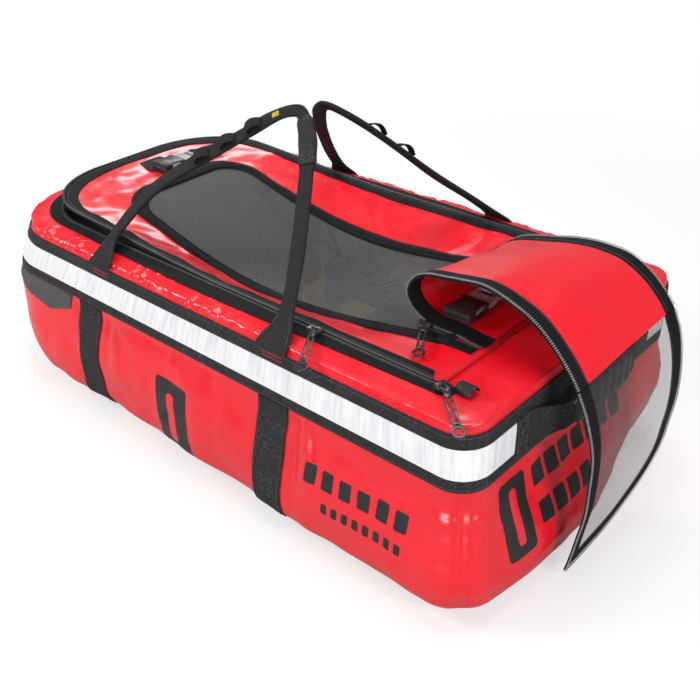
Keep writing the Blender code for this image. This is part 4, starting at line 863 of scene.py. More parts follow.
def buildVent():  # a mesh patch under the band, which hangs lowest at its point
    start = columnStarts[6] - ringSteps["leftCorner"] / 3
    last = sideColumn(rowAt(trim["ventLevel"]), trim["ventEnd"], -1)
    point = sideColumn(rowAt(trim["ventLevel"]), trim["ventPoint"], -1)
    knots = [start, start + ringSteps["leftCorner"] / 6, float(columnStarts[6]), point, last]
    at = np.linspace(start, last, 44)
    depth = np.interp(at, knots, trim["ventShares"])
    gap, rows = trim["ventGap"], []
    for share in np.linspace(0, 1, 10):
        heights = bag["bandBottom"] - gap - (trim["ventDepth"] * depth - gap) * share
        rows.append(np.array([rowAt(z) for z in heights]))
    points, normals = readSurface(tubSurface, tubNormals, rows, at)
    patch = slab("ventPatch", points[::-1], ventCloth, 0.0004, 0.0012, normals[::-1])
    finishPiece(patch, "bag", ["vent_patch"])


buildBand()
buildUnderStrap("underStrapLeft", strapLeft[0], strapLeft[1], "under_strap_left")
buildUnderStrap("underStrapRight", strapRight[0], strapRight[1], "under_strap_right")
buildVent()
print("band and straps laid")


# Lid with its mesh window
lid = {
    "outer": [0.0, -0.381, 0.3838, 0.176, 0.176, 0.120, 0.012, 0.0],
    "window": [0.0, -0.240, 0.335, 0.100, 0.100, 0.050, 0.008, 0.0],
    "height": 0.2635, "leftRaise": 0.017, "raiseStart": 0.05, "raiseLength": 0.38,
    "sag": 0.040, "meshSag": 0.012, "thick": 0.0018,
    "folds": 0.0026, "foldSize": (0.050, 0.085, 1.0), "wrinkles": 0.0009,
    "tapeWidth": 0.014, "bodyTapeWidth": 0.020, "rimCap": 0.0046, "tapeThick": 0.0013,
    "lipReach": 0.0014, "lipDrop": 0.0006, "lipEdge": 0.0012,  # where the tape turns over the edge
    "bindingWidth": 0.013, "bindingWrap": 0.005, "bindingHeight": 0.0042, "bindingBack": 0.0016,
    "grooveDepth": 0.45, "groovePlace": 0.35, "grooveWidth": 0.16,
    "netWaves": 0.0022, "netWaveSize": (0.06, 0.06, 1.0), "netDrop": 0.0010,
    # the net's rings, from the window's edge to its middle
    "netShares": [1.0, 0.97, 0.93, 0.88, 0.82, 0.75, 0.67, 0.58, 0.49, 0.40, 0.30, 0.20, 0.10, 0.02],
    "toothSize": (0.0011, 0.0040, 0.0010), "toothLift": 0.0017,
}
coil = {"toothPitch": 0.0026, "step": 0.0022, "offset": 0.0009, "lift": 0.0015, "thick": 0.0021}
outerRing, windowRing = ringPoints(lid["outer"]), ringPoints(lid["window"])
frameWidth = lid["outer"][4] - lid["window"][4]


def lidEdgeHeight(x):
    return lid["height"] + lid["leftRaise"] * smoothStep((lid["raiseStart"] - x) / lid["raiseLength"])


def lidSag(x):
    share = np.clip((x - lid["window"][1]) / (lid["window"][2] - lid["window"][1]), 0, 1)
    return lid["sag"] * np.sin(np.pi * share)


def lidGrid(shares):  # rows from the lid's outer edge, 0, to the window's edge, 1
    rows = []
    for share in shares:
        ring = outerRing * (1 - share) + windowRing * share
        x = ring[:, 0] - midX
        ring[:, 2] = lidEdgeHeight(x) - lidSag(windowRing[:, 0] - midX) * smoothStep(share)
        rows.append(ring)
    grid = np.array(rows)
    middle = (np.sin(np.pi * np.clip(np.asarray(shares), 0, 1)) ** 0.7)[:, None]
    calm = 0.10 + 0.90 * smoothStep((0.285 - (grid[..., 0] - midX)) / 0.06)  # flat under the flap
    push = lid["folds"] * lumps(grid, lid["foldSize"], 11) * middle * calm
    push += lid["wrinkles"] * lumps(grid, 0.021, 12) * middle * calm
    return grid + gridNormals(grid, True) * push[..., None]


lidShares = np.linspace(0, 1, 27)
lidSurface = lidGrid(lidShares)
lidNormals = gridNormals(lidSurface, True)


def lidPatch(shares, first=0.0, last=None):  # points and normals on the lid's frame
    rows = [share * (len(lidShares) - 1.0) for share in shares]
    return alongRing(lidSurface, lidNormals, rows, first, last)


def buildLidFrame():
    frameCloth = slab("lidFrame", lidSurface, tarpaulin, -lid["thick"], lid["thick"], lidNormals, 0.0, True)
    finishPiece(frameCloth, "lid", ["lid_frame"])
    return frameCloth


def buildBinding():  # a rolled tape round the window, with a groove along it
    beyond = lid["bindingWrap"] / frameWidth
    shares = np.linspace(1 - lid["bindingWidth"] / frameWidth, 1 + beyond, 17)
    points, normals = lidPatch(np.clip(shares, 0, 0.9999))
    inward = unit(points[-1] - points[0])
    points = points + inward * np.maximum(0, (shares - 1) * frameWidth)[:, None, None]
    across = np.linspace(-1, 1, len(shares))
    groove = lid["grooveDepth"] * bump(across - lid["groovePlace"], lid["grooveWidth"])
    profile = np.sqrt(np.maximum(0.04, 1 - across ** 2)) - groove
    top = points + normals * (lid["bindingHeight"] * profile[:, None, None])
    under = np.where(shares > 1, -lid["bindingBack"] - lid["thick"], 0.0002)
    bottom = points + normals * under[:, None, None]
    rings = np.concatenate([bottom, top[::-1]]).transpose(1, 0, 2)
    closed = np.concatenate([rings, rings[:1]])
    binding = loftRings("windowBinding", closed, zipTape, closedEnds=False)
    finishPiece(binding, "lid", ["window_binding"])


def buildLidTape():
    first, last = float(columnStarts[2]), float(columnStarts[7])
    points, normals = lidPatch(np.linspace(0.002, lid["tapeWidth"] / frameWidth, 7), first, last)
    outward = unit(points[0] - points[1])
    lip = points[0] + outward * lid["lipReach"] - normals[0] * (lid["thick"] + lid["lipDrop"])
    edge = points[0] + outward * lid["lipEdge"]
    points = np.concatenate([[lip, edge], points])
    normals = np.concatenate([[outward, normals[0]], normals])
    tape = slab("lidZipTape", points, zipTape, 0.0002, lid["tapeThick"], normals)
    finishPiece(tape, "lid", ["lid_zip_tape"])


def rimPatch(distances):  # points and normals on the tub, measured down from its rim
    first, last = float(columnStarts[1]) + 1, float(columnStarts[8]) - 1
    steps = int(round(last - first))
    at = np.linspace(first, last, steps)
    whole = np.arange(len(tubHeights) - 1, len(tubHeights) - 28, -1).astype(float)
    lines = np.array([sampleGrid(tubSurface, np.full(steps, row), at, True) for row in whole])
    lengths = np.linalg.norm(np.diff(lines, axis=0), axis=2)
    run = np.concatenate([np.zeros((1, steps)), np.cumsum(lengths, axis=0)])
    rows = [np.array([np.interp(distance, run[:, i], whole) for i in range(steps)]) for distance in distances]
    return readSurface(tubSurface, tubNormals, rows, at)


def buildBodyTape():
    points, normals = rimPatch(np.linspace(lid["bodyTapeWidth"], 0.0004, 8))
    inward = -unit(normals[-1] * [1, 1, 0])
    cap = [points[-1] + inward * reach + [0, 0, 0.0004] for reach in (lid["rimCap"] / 2, lid["rimCap"])]
    upward = np.broadcast_to([0.0, 0.0, 1.0], normals[-1].shape)
    points, normals = np.concatenate([points, cap]), np.concatenate([normals, [upward, upward]])
    tape = slab("bodyZipTape", points, zipTape, 0.0003, lid["tapeThick"], normals)
    finishPiece(tape, "bag", ["body_zip_tape"])


def buildMeshWindow():
    middle = (lid["window"][1] + lid["window"][2]) / 2
    rows = []
    for share in lid["netShares"]:
        edgeX, edgeY = windowRing[:, 0] - midX, windowRing[:, 1]
        x = middle + (edgeX - middle) * share
        y = edgeY * share
        sag = lidSag(edgeX) * smoothStep(share) + lidSag(x) * (1 - smoothStep(share))
        z = lidEdgeHeight(x) - sag - lid["meshSag"] * (1 - share ** 2) - lid["netDrop"]
        rows.append(np.stack([x + midX, y, z], axis=1))
    grid = np.array(rows)
    loose = (1 - np.array(lid["netShares"]) ** 4)[:, None]
    grid[..., 2] += lid["netWaves"] * lumps(grid, lid["netWaveSize"], 21) * loose
    count = grid.shape[1]
    faces = gridFaces(len(rows), count, True)
    faces.append(tuple(range((len(rows) - 1) * count, len(rows) * count)))
    points = grid.reshape(-1, 3)
    mesh = makeObject("meshWindow", points, faces, meshCloth, points[:, :2])
    finishPiece(mesh, "lid", ["mesh_window"])


def zipTeeth(name, line, normals, body, size, lift, start=0.0):
    places = alongLine(line, normals, coil["toothPitch"], start, lift)
    finishPiece(bricks(name, places, size, zipCoil), body)


def zipChain(name, line, normals, body, towards):  # one coil of a zip, beside a tape's edge
    fine, up = refine(line, normals, coil["step"], 20)
    up = unit(up)
    along = unit(np.gradient(fine, axis=0))
    side = unit(np.cross(up, along)) * towards
    centre = fine + side * coil["offset"] + up * coil["lift"]
    rings = [sectionRing(*place, coil["thick"], coil["thick"], 8, 0.8) for place in zip(centre, side, up)]
    finishPiece(loftRings(name, rings, zipCoil), body)


lidFrame = buildLidFrame()
buildBinding()
buildLidTape()
buildBodyTape()
buildMeshWindow()
edgePoints, edgeNormals = lidPatch([0.0], float(columnStarts[2]), float(columnStarts[7]))
zipTeeth("lidTeeth", edgePoints[0], edgeNormals[0], "lid", lid["toothSize"], lid["toothLift"])
zipChain("lidChain", edgePoints[0], edgeNormals[0], "lid", -1)
rimPoints, rimNormals = rimPatch([0.0012])
zipTeeth("rimTeeth", rimPoints[0], rimNormals[0], "bag", lid["toothSize"], lid["toothLift"], 0.0013)
zipChain("rimChain", rimPoints[0], rimNormals[0], "bag", 1)
print("lid laid")


# Window flap, folded back over the right end
flap = {
    "half": 0.095, "tape": 0.019, "thick": 0.0016,
    "rootNear": [(.006, .2656), (.022, .2660), (.038, .2684), (.062, .2690), (.086, .2716), (.105, .2830),
                 (.1125, .3000), (.103, .3170), (.083, .3285), (.055, .3345), (.033, .3362)],
    "rootFar": [(.006, .2656), (.022, .2660), (.038, .2684), (.060, .2690), (.080, .2706), (.094, .2770),
                (.0985, .2870), (.092, .2975), (.074, .3060), (.052, .3125), (.033, .3170)],
    "panelNear": [(.009, .3370), (-.020, .3310), (-.049, .3190), (-.073, .3000), (-.093, .2780),
                  (-.108, .2560)],
    "panelFar": [(.009, .3225), (-.023, .3268), (-.056, .3235), (-.084, .3090), (-.104, .2910),
                 (-.117, .2750)],
    "tailNear": [(-.1083, .2551), (-.121, .2260), (-.1305, .1900), (-.133, .1500), (-.132, .1100),
                 (-.126, .0650), (-.117, .0130)],
    "tailFar": [(-.1174, .2741), (-.129, .2460), (-.1365, .2040), (-.137, .1580), (-.132, .1130),
                (-.126, .0650), (-.117, .0130)],
    "curveStart": 0.60, "filmEnd": 0.918,  # shares along the tail
    "overlap": 0.004,  # how far the cloth and the film reach under the tapes
    "waves": 0.0016, "waveSize": 0.06,
    "tapeThick": 0.0038, "tailTapeThick": 0.0020, "filmThick": 0.0008,
    "toothSize": (0.0014, 0.0030, 0.0013), "toothPitch": 0.0027,
}


class Ruled:  # a sheet between the profiles of its near and far edges
    def __init__(self, near, far, count, waves, seed):
        self.near = evenly(catmull(near, 8), count)
        self.far = evenly(catmull(far, 8), count)
        share = np.linspace(0, 1, 41)[:, None, None]
        profile = self.near[None] * (1 - share) + self.far[None] * share
        y = np.broadcast_to(-flap["half"] + 2 * flap["half"] * share, profile.shape[:2] + (1,))
        x = bag["seam"] + midX - profile[..., :1]
        grid = np.concatenate([x, y, profile[..., 1:]], axis=2)
        normals = gridNormals(grid)
        ease = smoothStep(np.linspace(0, 1, count) / 0.12)
        self.grid = grid + normals * (waves * lumps(grid, flap["waveSize"], seed) * ease)[..., None]
        self.normals = gridNormals(self.grid)
        self.count = count

    def at(self, shares, ys):  # points and normals at shares along and places across
        row = (np.asarray(ys) + flap["half"]) / (2 * flap["half"]) * (self.grid.shape[0] - 1)
        column = np.asarray(shares) * (self.count - 1)
        row, column = np.broadcast_arrays(row, column)
        return sampleGrid(self.grid, row, column), unit(sampleGrid(self.normals, row, column))

    def patch(self, low, high, rows, first=0.0, last=1.0):
        steps = max(8, int(self.count * (last - first)))
        return self.at(np.linspace(first, last, steps)[None, :], np.linspace(low, high, rows)[:, None])


flapSheet = Ruled(flap["rootNear"] + flap["panelNear"], flap["rootFar"] + flap["panelFar"], 120,
                  flap["waves"], 31)
tailSheet = Ruled(flap["tailNear"], flap["tailFar"], 70, flap["waves"] * 0.8, 33)
clearHalf = flap["half"] - flap["tape"]
clothHalf = clearHalf + flap["overlap"]


def foldPiece(thing, stands=()):  # bakes its place into its mesh and hides the solids it stands for
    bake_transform(thing)
    labelPiece(stands)


def hangPiece(thing, stands=()):  # bakes its place into its mesh and hides the solids it stands for
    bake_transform(thing)
    labelPiece(stands)


def flapTeeth(name, line, up, lift):
    places = alongLine(line, up, flap["toothPitch"], lift=lift)
    # these teeth are painted pale: painted highlights
    return bricks(name, places, flap["toothSize"], paintedGlintCoil)


def buildFlap():
    points, normals = flapSheet.patch(-clothHalf, clothHalf, 36)
    cloth = slab("flapCloth", points, tarpaulin, -flap["thick"] / 2, flap["thick"], normals)
    foldPiece(cloth, ["flap_root", "flap_panel"])
    for side, label in ((-1, "near"), (1, "far")):
        low, high = sorted((side * flap["half"], side * (clearHalf - 0.001)))
        points, normals = flapSheet.patch(low, high, 9)
        tape = slab("flapTape" + label.capitalize(), points, zipTape, -flap["tapeThick"] / 2,
                    flap["tapeThick"], normals, 0.5)
        foldPiece(tape, ["flap_root_tape_" + label, "flap_panel_tape_" + label])
        line, up = flapSheet.at(np.linspace(0.01, 0.995, 170), np.full(170, side * (flap["half"] - 0.0012)))
        foldPiece(flapTeeth("flapTeeth" + label.capitalize(), line, up, 0.0016))
    return cloth


def tailEdge(share, half, endShare):  # how far across the curved end reaches
    sine = np.clip((share - flap["curveStart"]) / (endShare - flap["curveStart"]), 0, 1)
    return -half + 2 * half * np.sqrt(np.maximum(0, 1 - sine ** 2))


def tapeEdges():  # inner and outer edge of the tail's tape, as shares along and places across
    start, end, half = flap["curveStart"], flap["filmEnd"], flap["half"]
    inner, outer = [], []
    for share in np.linspace(0, end, 40):
        inner.append((share, -clearHalf + 0.001))
        outer.append((share / end, -half))
    for angle in np.radians(np.linspace(90, 0, 34))[1:]:
        cosine, sine = math.cos(angle), math.sin(angle)
        inner.append((start + (end - start) * sine, -clearHalf + 2 * clearHalf * cosine - 0.001))
        outer.append((start + (1 - start) * sine, -half + 2 * half * cosine))
    for share in np.linspace(start, 0, 26)[1:]:
        inner.append((share, clearHalf - 0.001))
        outer.append((share, half))
    return np.array(inner), np.array(outer)


def buildTail():
    start, end = flap["curveStart"], flap["filmEnd"]
    curved = start + (end - start) * np.sin(np.linspace(0.05, 1.52, 22))
    shares = np.concatenate([np.linspace(0, start, 30), curved])
    limit = tailEdge(shares, clothHalf, end + 0.012)
    across = np.linspace(0, 1, 24)[:, None]
    ys = -clothHalf + (limit + clothHalf)[None, :] * across
    points, normals = tailSheet.at(shares[None, :], ys)
    thick = flap["filmThick"]
    sheet = slab("clearTail", points, film, -thick / 2, thick, normals, 0.0)
    hangPiece(sheet, ["clear_tail"])
    inner, outer = tapeEdges()
    across = np.linspace(0, 1, 8)[:, None, None]
    places = inner[None] * (1 - across) + outer[None] * across
    points, normals = tailSheet.at(places[..., 0], places[..., 1])
    thick = flap["tailTapeThick"]
    tape = slab("tailTape", points, zipTape, -thick / 2, thick, normals, 0.5)
    hangPiece(tape, ["tail_tape"])
    edge, up = tailSheet.at(outer[:, 0] * 0.999, outer[:, 1] * 0.99)
    hangPiece(flapTeeth("tailTeeth", edge, up, 0.0009))


flapCloth = buildFlap()
buildTail()
print("flap folded")


# Carrying slings
slings = {
    "lean": math.radians(44.4), "pivotY": 0.222849, "pivotZ": 0.246086,
    "width": 0.0205, "baseWidth": 0.050, "topWidth": 0.0165, "thick": 0.0062, "topStart": 0.86,
    "footHeight": 0.052, "footThin": 0.4, "wobble": 0.0014, "twist": 0.10, "steps": 150,
    "stitchEdge": 0.0035, "stitchPitch": 0.0036, "stitchSize": (0.0026, 0.0007, 0.0004), "stitchSkip": 3,
    "stitchLift": 0.34,  # share of the thickness
    "near": [(-.156, 0), (-.156, .050), (-.135, .115), (-.102, .159), (-.053, .206), (-.028, .230),
             (.006, .264), (.032, .279), (.052, .276), (.083, .240), (.115, .180), (.143, .122),
             (.166, .068), (.176, .030), (.176, 0)],
    "far": [(-.112, 0), (-.098, .048), (-.081, .093), (-.050, .155), (-.022, .203), (.012, .250),
            (.040, .271), (.063, .259), (.084, .231), (.105, .184), (.129, .118), (.166, .060),
            (.183, .020), (.186, 0)],
    "keeper": (0.56, 0.66), "keeperWall": 0.003, "keeperPuff": 0.0034, "keeperRipple": 0.0005,
    "keeperEnd": 0.0010,
    "loopWidth": 0.014, "loopThick": 0.0020, "loopLift": 0.0012, "loopHeight": 0.0065,
    # share of the run at the start and end of each small loop
    "nearLoops": [(0.30, 0.335), (0.36, 0.395), (0.42, 0.455)],
    "farLoops": [(0.60, 0.64), (0.68, 0.72)],
    "tackRows": 9, "tackPitch": 0.0011, "tackSize": (0.0075, 0.0009, 0.0008),
    # bar tacks: share of the run, colour
    "nearTacks": [(0.485, (0.45, 0.33, 0.02)), (0.60, (0.02, 0.22, 0.10))],
    "farTacks": [(0.47, (0.50, 0.015, 0.02)), (0.56, (0.45, 0.33, 0.02)), (0.64, (0.02, 0.22, 0.10))],
}


def slingRun(route, side):  # middle line, across, out and width at each place of a sling
    slope = np.array([0, -side * math.cos(slings["lean"]), math.sin(slings["lean"])])
    out = np.array([0, side * math.sin(slings["lean"]), math.cos(slings["lean"])])
    base = np.array([midX, side * slings["pivotY"], slings["pivotZ"]])
    line = evenly(catmull(route, 12), slings["steps"])
    run = unit(np.gradient(line, axis=0))
    run[0], run[-1] = (0, 1), (0, -1)
    across = np.stack([run[:, 1], -run[:, 0]], axis=1)
    across = across[:, :1] * np.array([1.0, 0, 0]) + across[:, 1:] * slope
    height = line[:, 1]
    topEnd = height.max()
    topStart = slings["topStart"] * topEnd
    aboveFoot = smoothStep(height / slings["footHeight"])
    width = slings["baseWidth"] + (slings["width"] - slings["baseWidth"]) * aboveFoot
    width += (slings["topWidth"] - slings["width"]) * smoothStep((height - topStart) / (topEnd - topStart))
    wobble = lumps(np.column_stack([line * 28, line[:, 0] * 0]), 1.0, 43)
    width += slings["wobble"] * wobble * smoothStep(height / 0.05)
    centre = base + line[:, :1] * np.array([1.0, 0, 0]) + line[:, 1:] * slope
    turns = np.stack([centre[:, 0] * 9, centre[:, 2] * 9, centre[:, 0] * 0], axis=1)
    twist = slings["twist"] * lumps(turns, 1.0, 41)
    tilted = unit(across + out * twist[:, None])
    return centre, tilted, unit(np.cross(tilted, np.cross(out, tilted))), width


def buildSling(name, side, node):  # the sling rides on the body of the same name as its solid
    centre, across, out, width = slingRun(slings[name], side)
    thick = slings["thick"] * (1 - slings["footThin"] * smoothStep((width - slings["width"]) / 0.012))
    rings = [sectionRing(*place, 18, 0.62) for place in zip(centre, across, out, width, thick)]
    finishPiece(loftRings(name + "Sling", rings, slingWebbing), node, [node])
    skip = slings["stitchSkip"]
    for edge, label in ((-1, "SlingStitches"), (1, "SlingStitchesTwo")):
        line = centre + across * (edge * (width / 2 - slings["stitchEdge"]))[:, None]
        lift = slings["thick"] * slings["stitchLift"]
        places = alongLine(line[skip:-skip], out[skip:-skip], slings["stitchPitch"], lift=lift)
        finishPiece(bricks(name + label, places, slings["stitchSize"], darkThread), node)
    return centre, across, out, width


def buildLoop(name, run, first, last, body):  # a small loop of tape standing on a sling
    centre, across, out = run[:3]
    start, end = int(first * (slings["steps"] - 1)), int(last * (slings["steps"] - 1))
    t = np.linspace(0, 1, 15)
    line = readRows(start + (end - start) * t, np.arange(slings["steps"]), centre)
    up, side = out[(start + end) // 2], across[(start + end) // 2]
    rise = slings["thick"] / 2 + slings["loopLift"] + slings["loopHeight"] * np.sin(np.pi * t) ** 0.8
    line = line + up * rise[:, None]
    tangent = unit(np.gradient(line, axis=0))
    rings = [sectionRing(c, side, unit(np.cross(side, d)), slings["loopWidth"], slings["loopThick"], 12, 0.4)
             for c, d in zip(line, tangent)]
    finishPiece(loftRings(name, rings, slingWebbing), body)


def buildTack(name, run, share, colour, body):  # a bar tack: dense thread across the sling
    centre, across, out = run[:3]
    at = int(share * (slings["steps"] - 1))
    along = unit(np.cross(across[at], out[at]))
    origin = centre[at] + out[at] * (slings["thick"] / 2 - 0.0002)
    rows = slings["tackRows"]
    places = [(origin + along * (slings["tackPitch"] * (k - rows // 2)), across[at], along, out[at])
              for k in range(rows)]
    thread = makeThread(name + "Thread", colour)
    finishPiece(bricks(name, places, slings["tackSize"], thread), body)


def buildKeeper(run):  # a sleeve of webbing round the near sling's top
    centre, across, out, width = run
    first, last = (int(share * (slings["steps"] - 1)) for share in slings["keeper"])
    span = np.arange(first, last + 1)
    puff = slings["keeperPuff"] + slings["keeperRipple"] * np.sin(np.linspace(0, 14, len(span)))
    puff[0] = puff[-1] = slings["keeperEnd"]
    tall = slings["thick"] + slings["keeperWall"]
    rings = [sectionRing(centre[i], across[i], out[i], width[i] + p, tall + p, 20, 0.6)
             for i, p in zip(span, puff)]
    keeper = loftRings("slingKeeper", rings, webbing)
    finishPiece(keeper, "near_sling", ["sling_keeper"])


slingRuns = {"near": buildSling("near", -1, "near_sling"), "far": buildSling("far", 1, "far_sling")}
buildKeeper(slingRuns["near"])
for side, run in slingRuns.items():
    for i, (first, last) in enumerate(slings[side + "Loops"]):
        buildLoop(f"{side}Loop{i}", run, first, last, side + "_sling")
for side, run in slingRuns.items():
    for i, (share, colour) in enumerate(slings[side + "Tacks"]):
        buildTack(f"{side}Tack{i}", run, share, colour, side + "_sling")
print("slings hung")


# Side-release buckles, laid out along +Y from the female part's mouth
buckle = {
    "width": 0.036, "height": 0.011, "femaleLength": 0.038, "wall": 0.002, "grip": 0.020, "ladder": 0.020,
    "clearance": 0.0005, "tail": 0.040, "webbingWidth": 0.025, "webbingThick": 0.0016,
    # the female half's side rails: width, share of the length, how far back, bevel
    "rails": [(0.0035, 0.36, 0.82, 0.0012), (0.0030, 0.20, 0.10, 0.0010)],
    "grooves": [(0.5, 0.42), (0.38, 0.34)],  # its ribs: share of the width, how far back
    # the male half's prongs: width, length, how far out, how far back, bevel
    "prongs": [(0.0032, 0.027, 0.0134, -0.0125, 0.0010), (0.0045, 0.010, 0.0138, -0.0200, 0.0012)],
    "ribs": 4, "ribPitch": 0.0030, "patchThick": 0.0018, "patchLift": 0.0004, "curlLevel": 0.2712,
}


def femaleParts():
    wide, tall, long, wall = buckle["width"], buckle["height"], buckle["femaleLength"], buckle["wall"]
    plates = []
    for side in (-1, 1):
        plates.append(roundBox((wide - 0.005, long, wall), (0, -long / 2, side * (tall - wall) / 2), 0.0009))
        for rail, run, back, bevel in buckle["rails"]:
            at = (side * (wide / 2 - rail / 2), -long * back, 0)
            plates.append(roundBox((rail, long * run, tall), at, bevel))
    plates.append(roundBox((wide - 0.004, 0.0035, tall - 0.001), (0, -long + 0.0095, 0), 0.0008))
    plates.append(roundBox((wide, 0.0035, tall * 0.62), (0, -long + 0.0018, 0), 0.0014))
    for share, back in buckle["grooves"]:
        at = (0, -long * back, (tall - wall) / 2)
        plates.append(roundBox((wide * share, 0.0016, wall + 0.0007), at, 0.0003))
    return plates


def maleParts():
    wide, thick = buckle["width"], buckle["height"] / 2 - buckle["wall"] - buckle["clearance"]
    start, grip, ladder = buckle["clearance"], buckle["grip"], buckle["ladder"]
    parts = [roundBox((wide, grip - 0.004, 2 * thick), (0, start + (grip - 0.004) / 2, 0), 0.0012),
             roundBox((0.006, 0.022, 2 * thick - 0.001), (0, -0.010, 0), 0.0008)]
    for side in (-1, 1):
        for prong, run, out, back, bevel in buckle["prongs"]:
            parts.append(roundBox((prong, run, 2 * thick), (side * out, back, 0), bevel))
        at = (side * (wide / 2 - 0.0040), start + grip + ladder / 2 - 0.003, 0)
        parts.append(roundBox((0.0040, ladder + 0.006, 2 * thick), at, 0.0012))
    for y in (start + grip - 0.003, start + grip + 0.0085, start + grip + ladder - 0.0016):
        parts.append(roundBox((wide - 0.006, 0.0034, 2 * thick), (0, y, 0), 0.0011))
    for i in range(buckle["ribs"]):
        at = (0, start + 0.004 + buckle["ribPitch"] * i, 0)
        parts.append(roundBox((wide - 0.010, 0.0009, 2 * thick + 0.0009), at, 0.0003))
    return parts


def buckleWebbing(name, place, drop):  # webbing through the ladder, folded back on itself
    end = buckle["clearance"] + buckle["grip"] + buckle["ladder"]
    half = buckle["webbingWidth"] / 2
    lines = [
        [(end - 0.017, -0.0016), (end - 0.013, -0.0026), (end - 0.009, 0.0030), (end - 0.004, 0.0034),
         (end + 0.0004, 0.0026), (end + 0.006, 0.0012), (end + 0.020, 0.0008), (end + buckle["tail"], -drop)],
        [(end - 0.016, -0.0030), (end - 0.006, -0.0040), (end + 0.004, -0.0026), (end + 0.016, -0.0016)],
    ]
    pieces = []
    for line, suffix in zip(lines, ("", "Fold")):
        path = catmull(line, 6)
        across = np.linspace(-half, half, 7)
        grid = np.array([[place @ Vector((x, y, z)) for y, z in path] for x in across])
        pieces.append(slab(name + suffix, grid, webbing, -buckle["webbingThick"] / 2, buckle["webbingThick"]))
    return pieces


def buildBuckle(label, nodes, origin, turn, female, male, drop=0.0):
    place = Matrix.Translation(Vector((origin[0] + midX, origin[1], origin[2])))
    place = place @ Matrix.Rotation(math.radians(turn), 4, "Z")
    finishPiece(joinParts(label + "Female", femaleParts(), blackPlastic, place), female,
                [nodes + "_female"])
    finishPiece(joinParts(label + "Male", maleParts(), greyPlastic, place), male,
                [nodes + "_male"])
    pieces = buckleWebbing(label + "Webbing", place, drop)
    finishPiece(pieces[0], male, [nodes + "_webbing"])
    finishPiece(pieces[1], male)


def bucklePatch(name, low, high, node, level=None):  # webbing under a buckle, on the lid or at a level
    xs, ys = np.linspace(low[0], high[0], 15) + midX, np.linspace(low[1], high[1], 9)
    heights = lidEdgeHeight(xs - midX) + buckle["patchLift"] if level is None else np.full(len(xs), level)
    grid = np.array([[(x, y, z) for x, z in zip(xs, heights)] for y in ys])
    patch = slab(name, grid, webbing, 0.0002, buckle["patchThick"])
    finishPiece(patch, "lid", [node])


buildBuckle("leftBuckle", "left_buckle", (-0.290, 0.030, 0.288436), 0, "lid", "left_buckle", 0.001)
bucklePatch("leftBucklePatch", (-0.342, -0.011), (-0.272, 0.033), "left_buckle_patch")
buildBuckle("curlBuckle", "curl_buckle", (0.328, -0.040, 0.2794), 0, "lid", "curl_buckle")
bucklePatch("curlBucklePatch", (0.313, -0.074), (0.343, -0.044), "curl_buckle_patch", buckle["curlLevel"])
buildBuckle("harnessBuckle", "harness_buckle", (0.010, 0.0, 0.0603), 90, "bag", "harness_buckle")
print("buckles set")


# Zip sliders with their ring pulls
zips = {
    "length": 0.018, "width": 0.011, "height": 0.006, "pullLength": 0.058, "neck": 0.0032, "ring": 0.0075,
    "hole": 0.0045, "thick": 0.0020, "rod": 0.0027,
    # label, node, slider's place, pull's axis, heading and dip of the pull, bodies
    "places": [
        ("rightSlider", "lid_slider_right", (0.392, -0.1845, 0.2649), (0.401485, -0.191911, 0.268615),
         -38, 16.6, "right_slider", "right_pull"),
        ("leftSlider", "lid_slider_left", (0.212, -0.1845, 0.2649), (0.216455, -0.192879, 0.268617),
         -62, 16.4, "left_slider", "left_pull"),
        ("flapSlider", "flap_slider", (0.302, -0.1008, 0.2664), (0.307344, -0.109352, 0.270365),
         -58, 2.0, "flap_slider", "flap_pull"),
    ],
}


def sliderParts():
    long, wide, tall = zips["length"], zips["width"], zips["height"]
    parts = [roundBox((long, wide, 0.0018), (0, 0, tall - 0.0022), 0.0008),
             roundBox((long, wide, 0.0014), (0, 0, 0.0010), 0.0006),
             roundBox((long * 0.3, wide * 0.42, tall - 0.001), (long * 0.28, 0, tall / 2 - 0.0002), 0.0008)]
    for side in (-1, 1):
        at = (0, side * (wide / 2 - 0.0008), tall / 2 - 0.0006)
        parts.append(roundBox((long * 0.86, 0.0012, tall - 0.0022), at, 0.0005))
        parts.append(roundBox((0.0016, 0.0016, 0.0018), (side * 0.0045, 0, tall - 0.0010), 0.0005))
    parts.append(roundBox((0.0110, 0.0022, 0.0013), (0, 0, tall - 0.0004), 0.0005))
    return parts


def flatRing(centre, outer, hole, thick, steps=28, corners=10):  # a flat ring as a bmesh
    work = bmesh.new()
    middle, half = (outer + hole) / 2, (outer - hole) / 2
    rings = []
    for i in range(steps):
        angle = 2 * math.pi * i / steps
        run = Vector((math.cos(angle), math.sin(angle), 0))
        ring = []
        for k in range(corners):
            turn = 2 * math.pi * (k + 0.5) / corners
            c, s = math.cos(turn), math.sin(turn)
            a = math.copysign(abs(c) ** 0.5, c) * half
            b = math.copysign(abs(s) ** 0.5, s) * thick / 2
            ring.append(work.verts.new(Vector(centre) + run * (middle + a) + Vector((0, 0, b))))
        rings.append(ring)
    for a, b in zip(rings, rings[1:] + rings[:1]):
        for k in range(corners):
            work.faces.new((a[k], b[k], b[(k + 1) % corners], a[(k + 1) % corners]))
    bmesh.ops.recalc_face_normals(work, faces=work.faces)
    return work


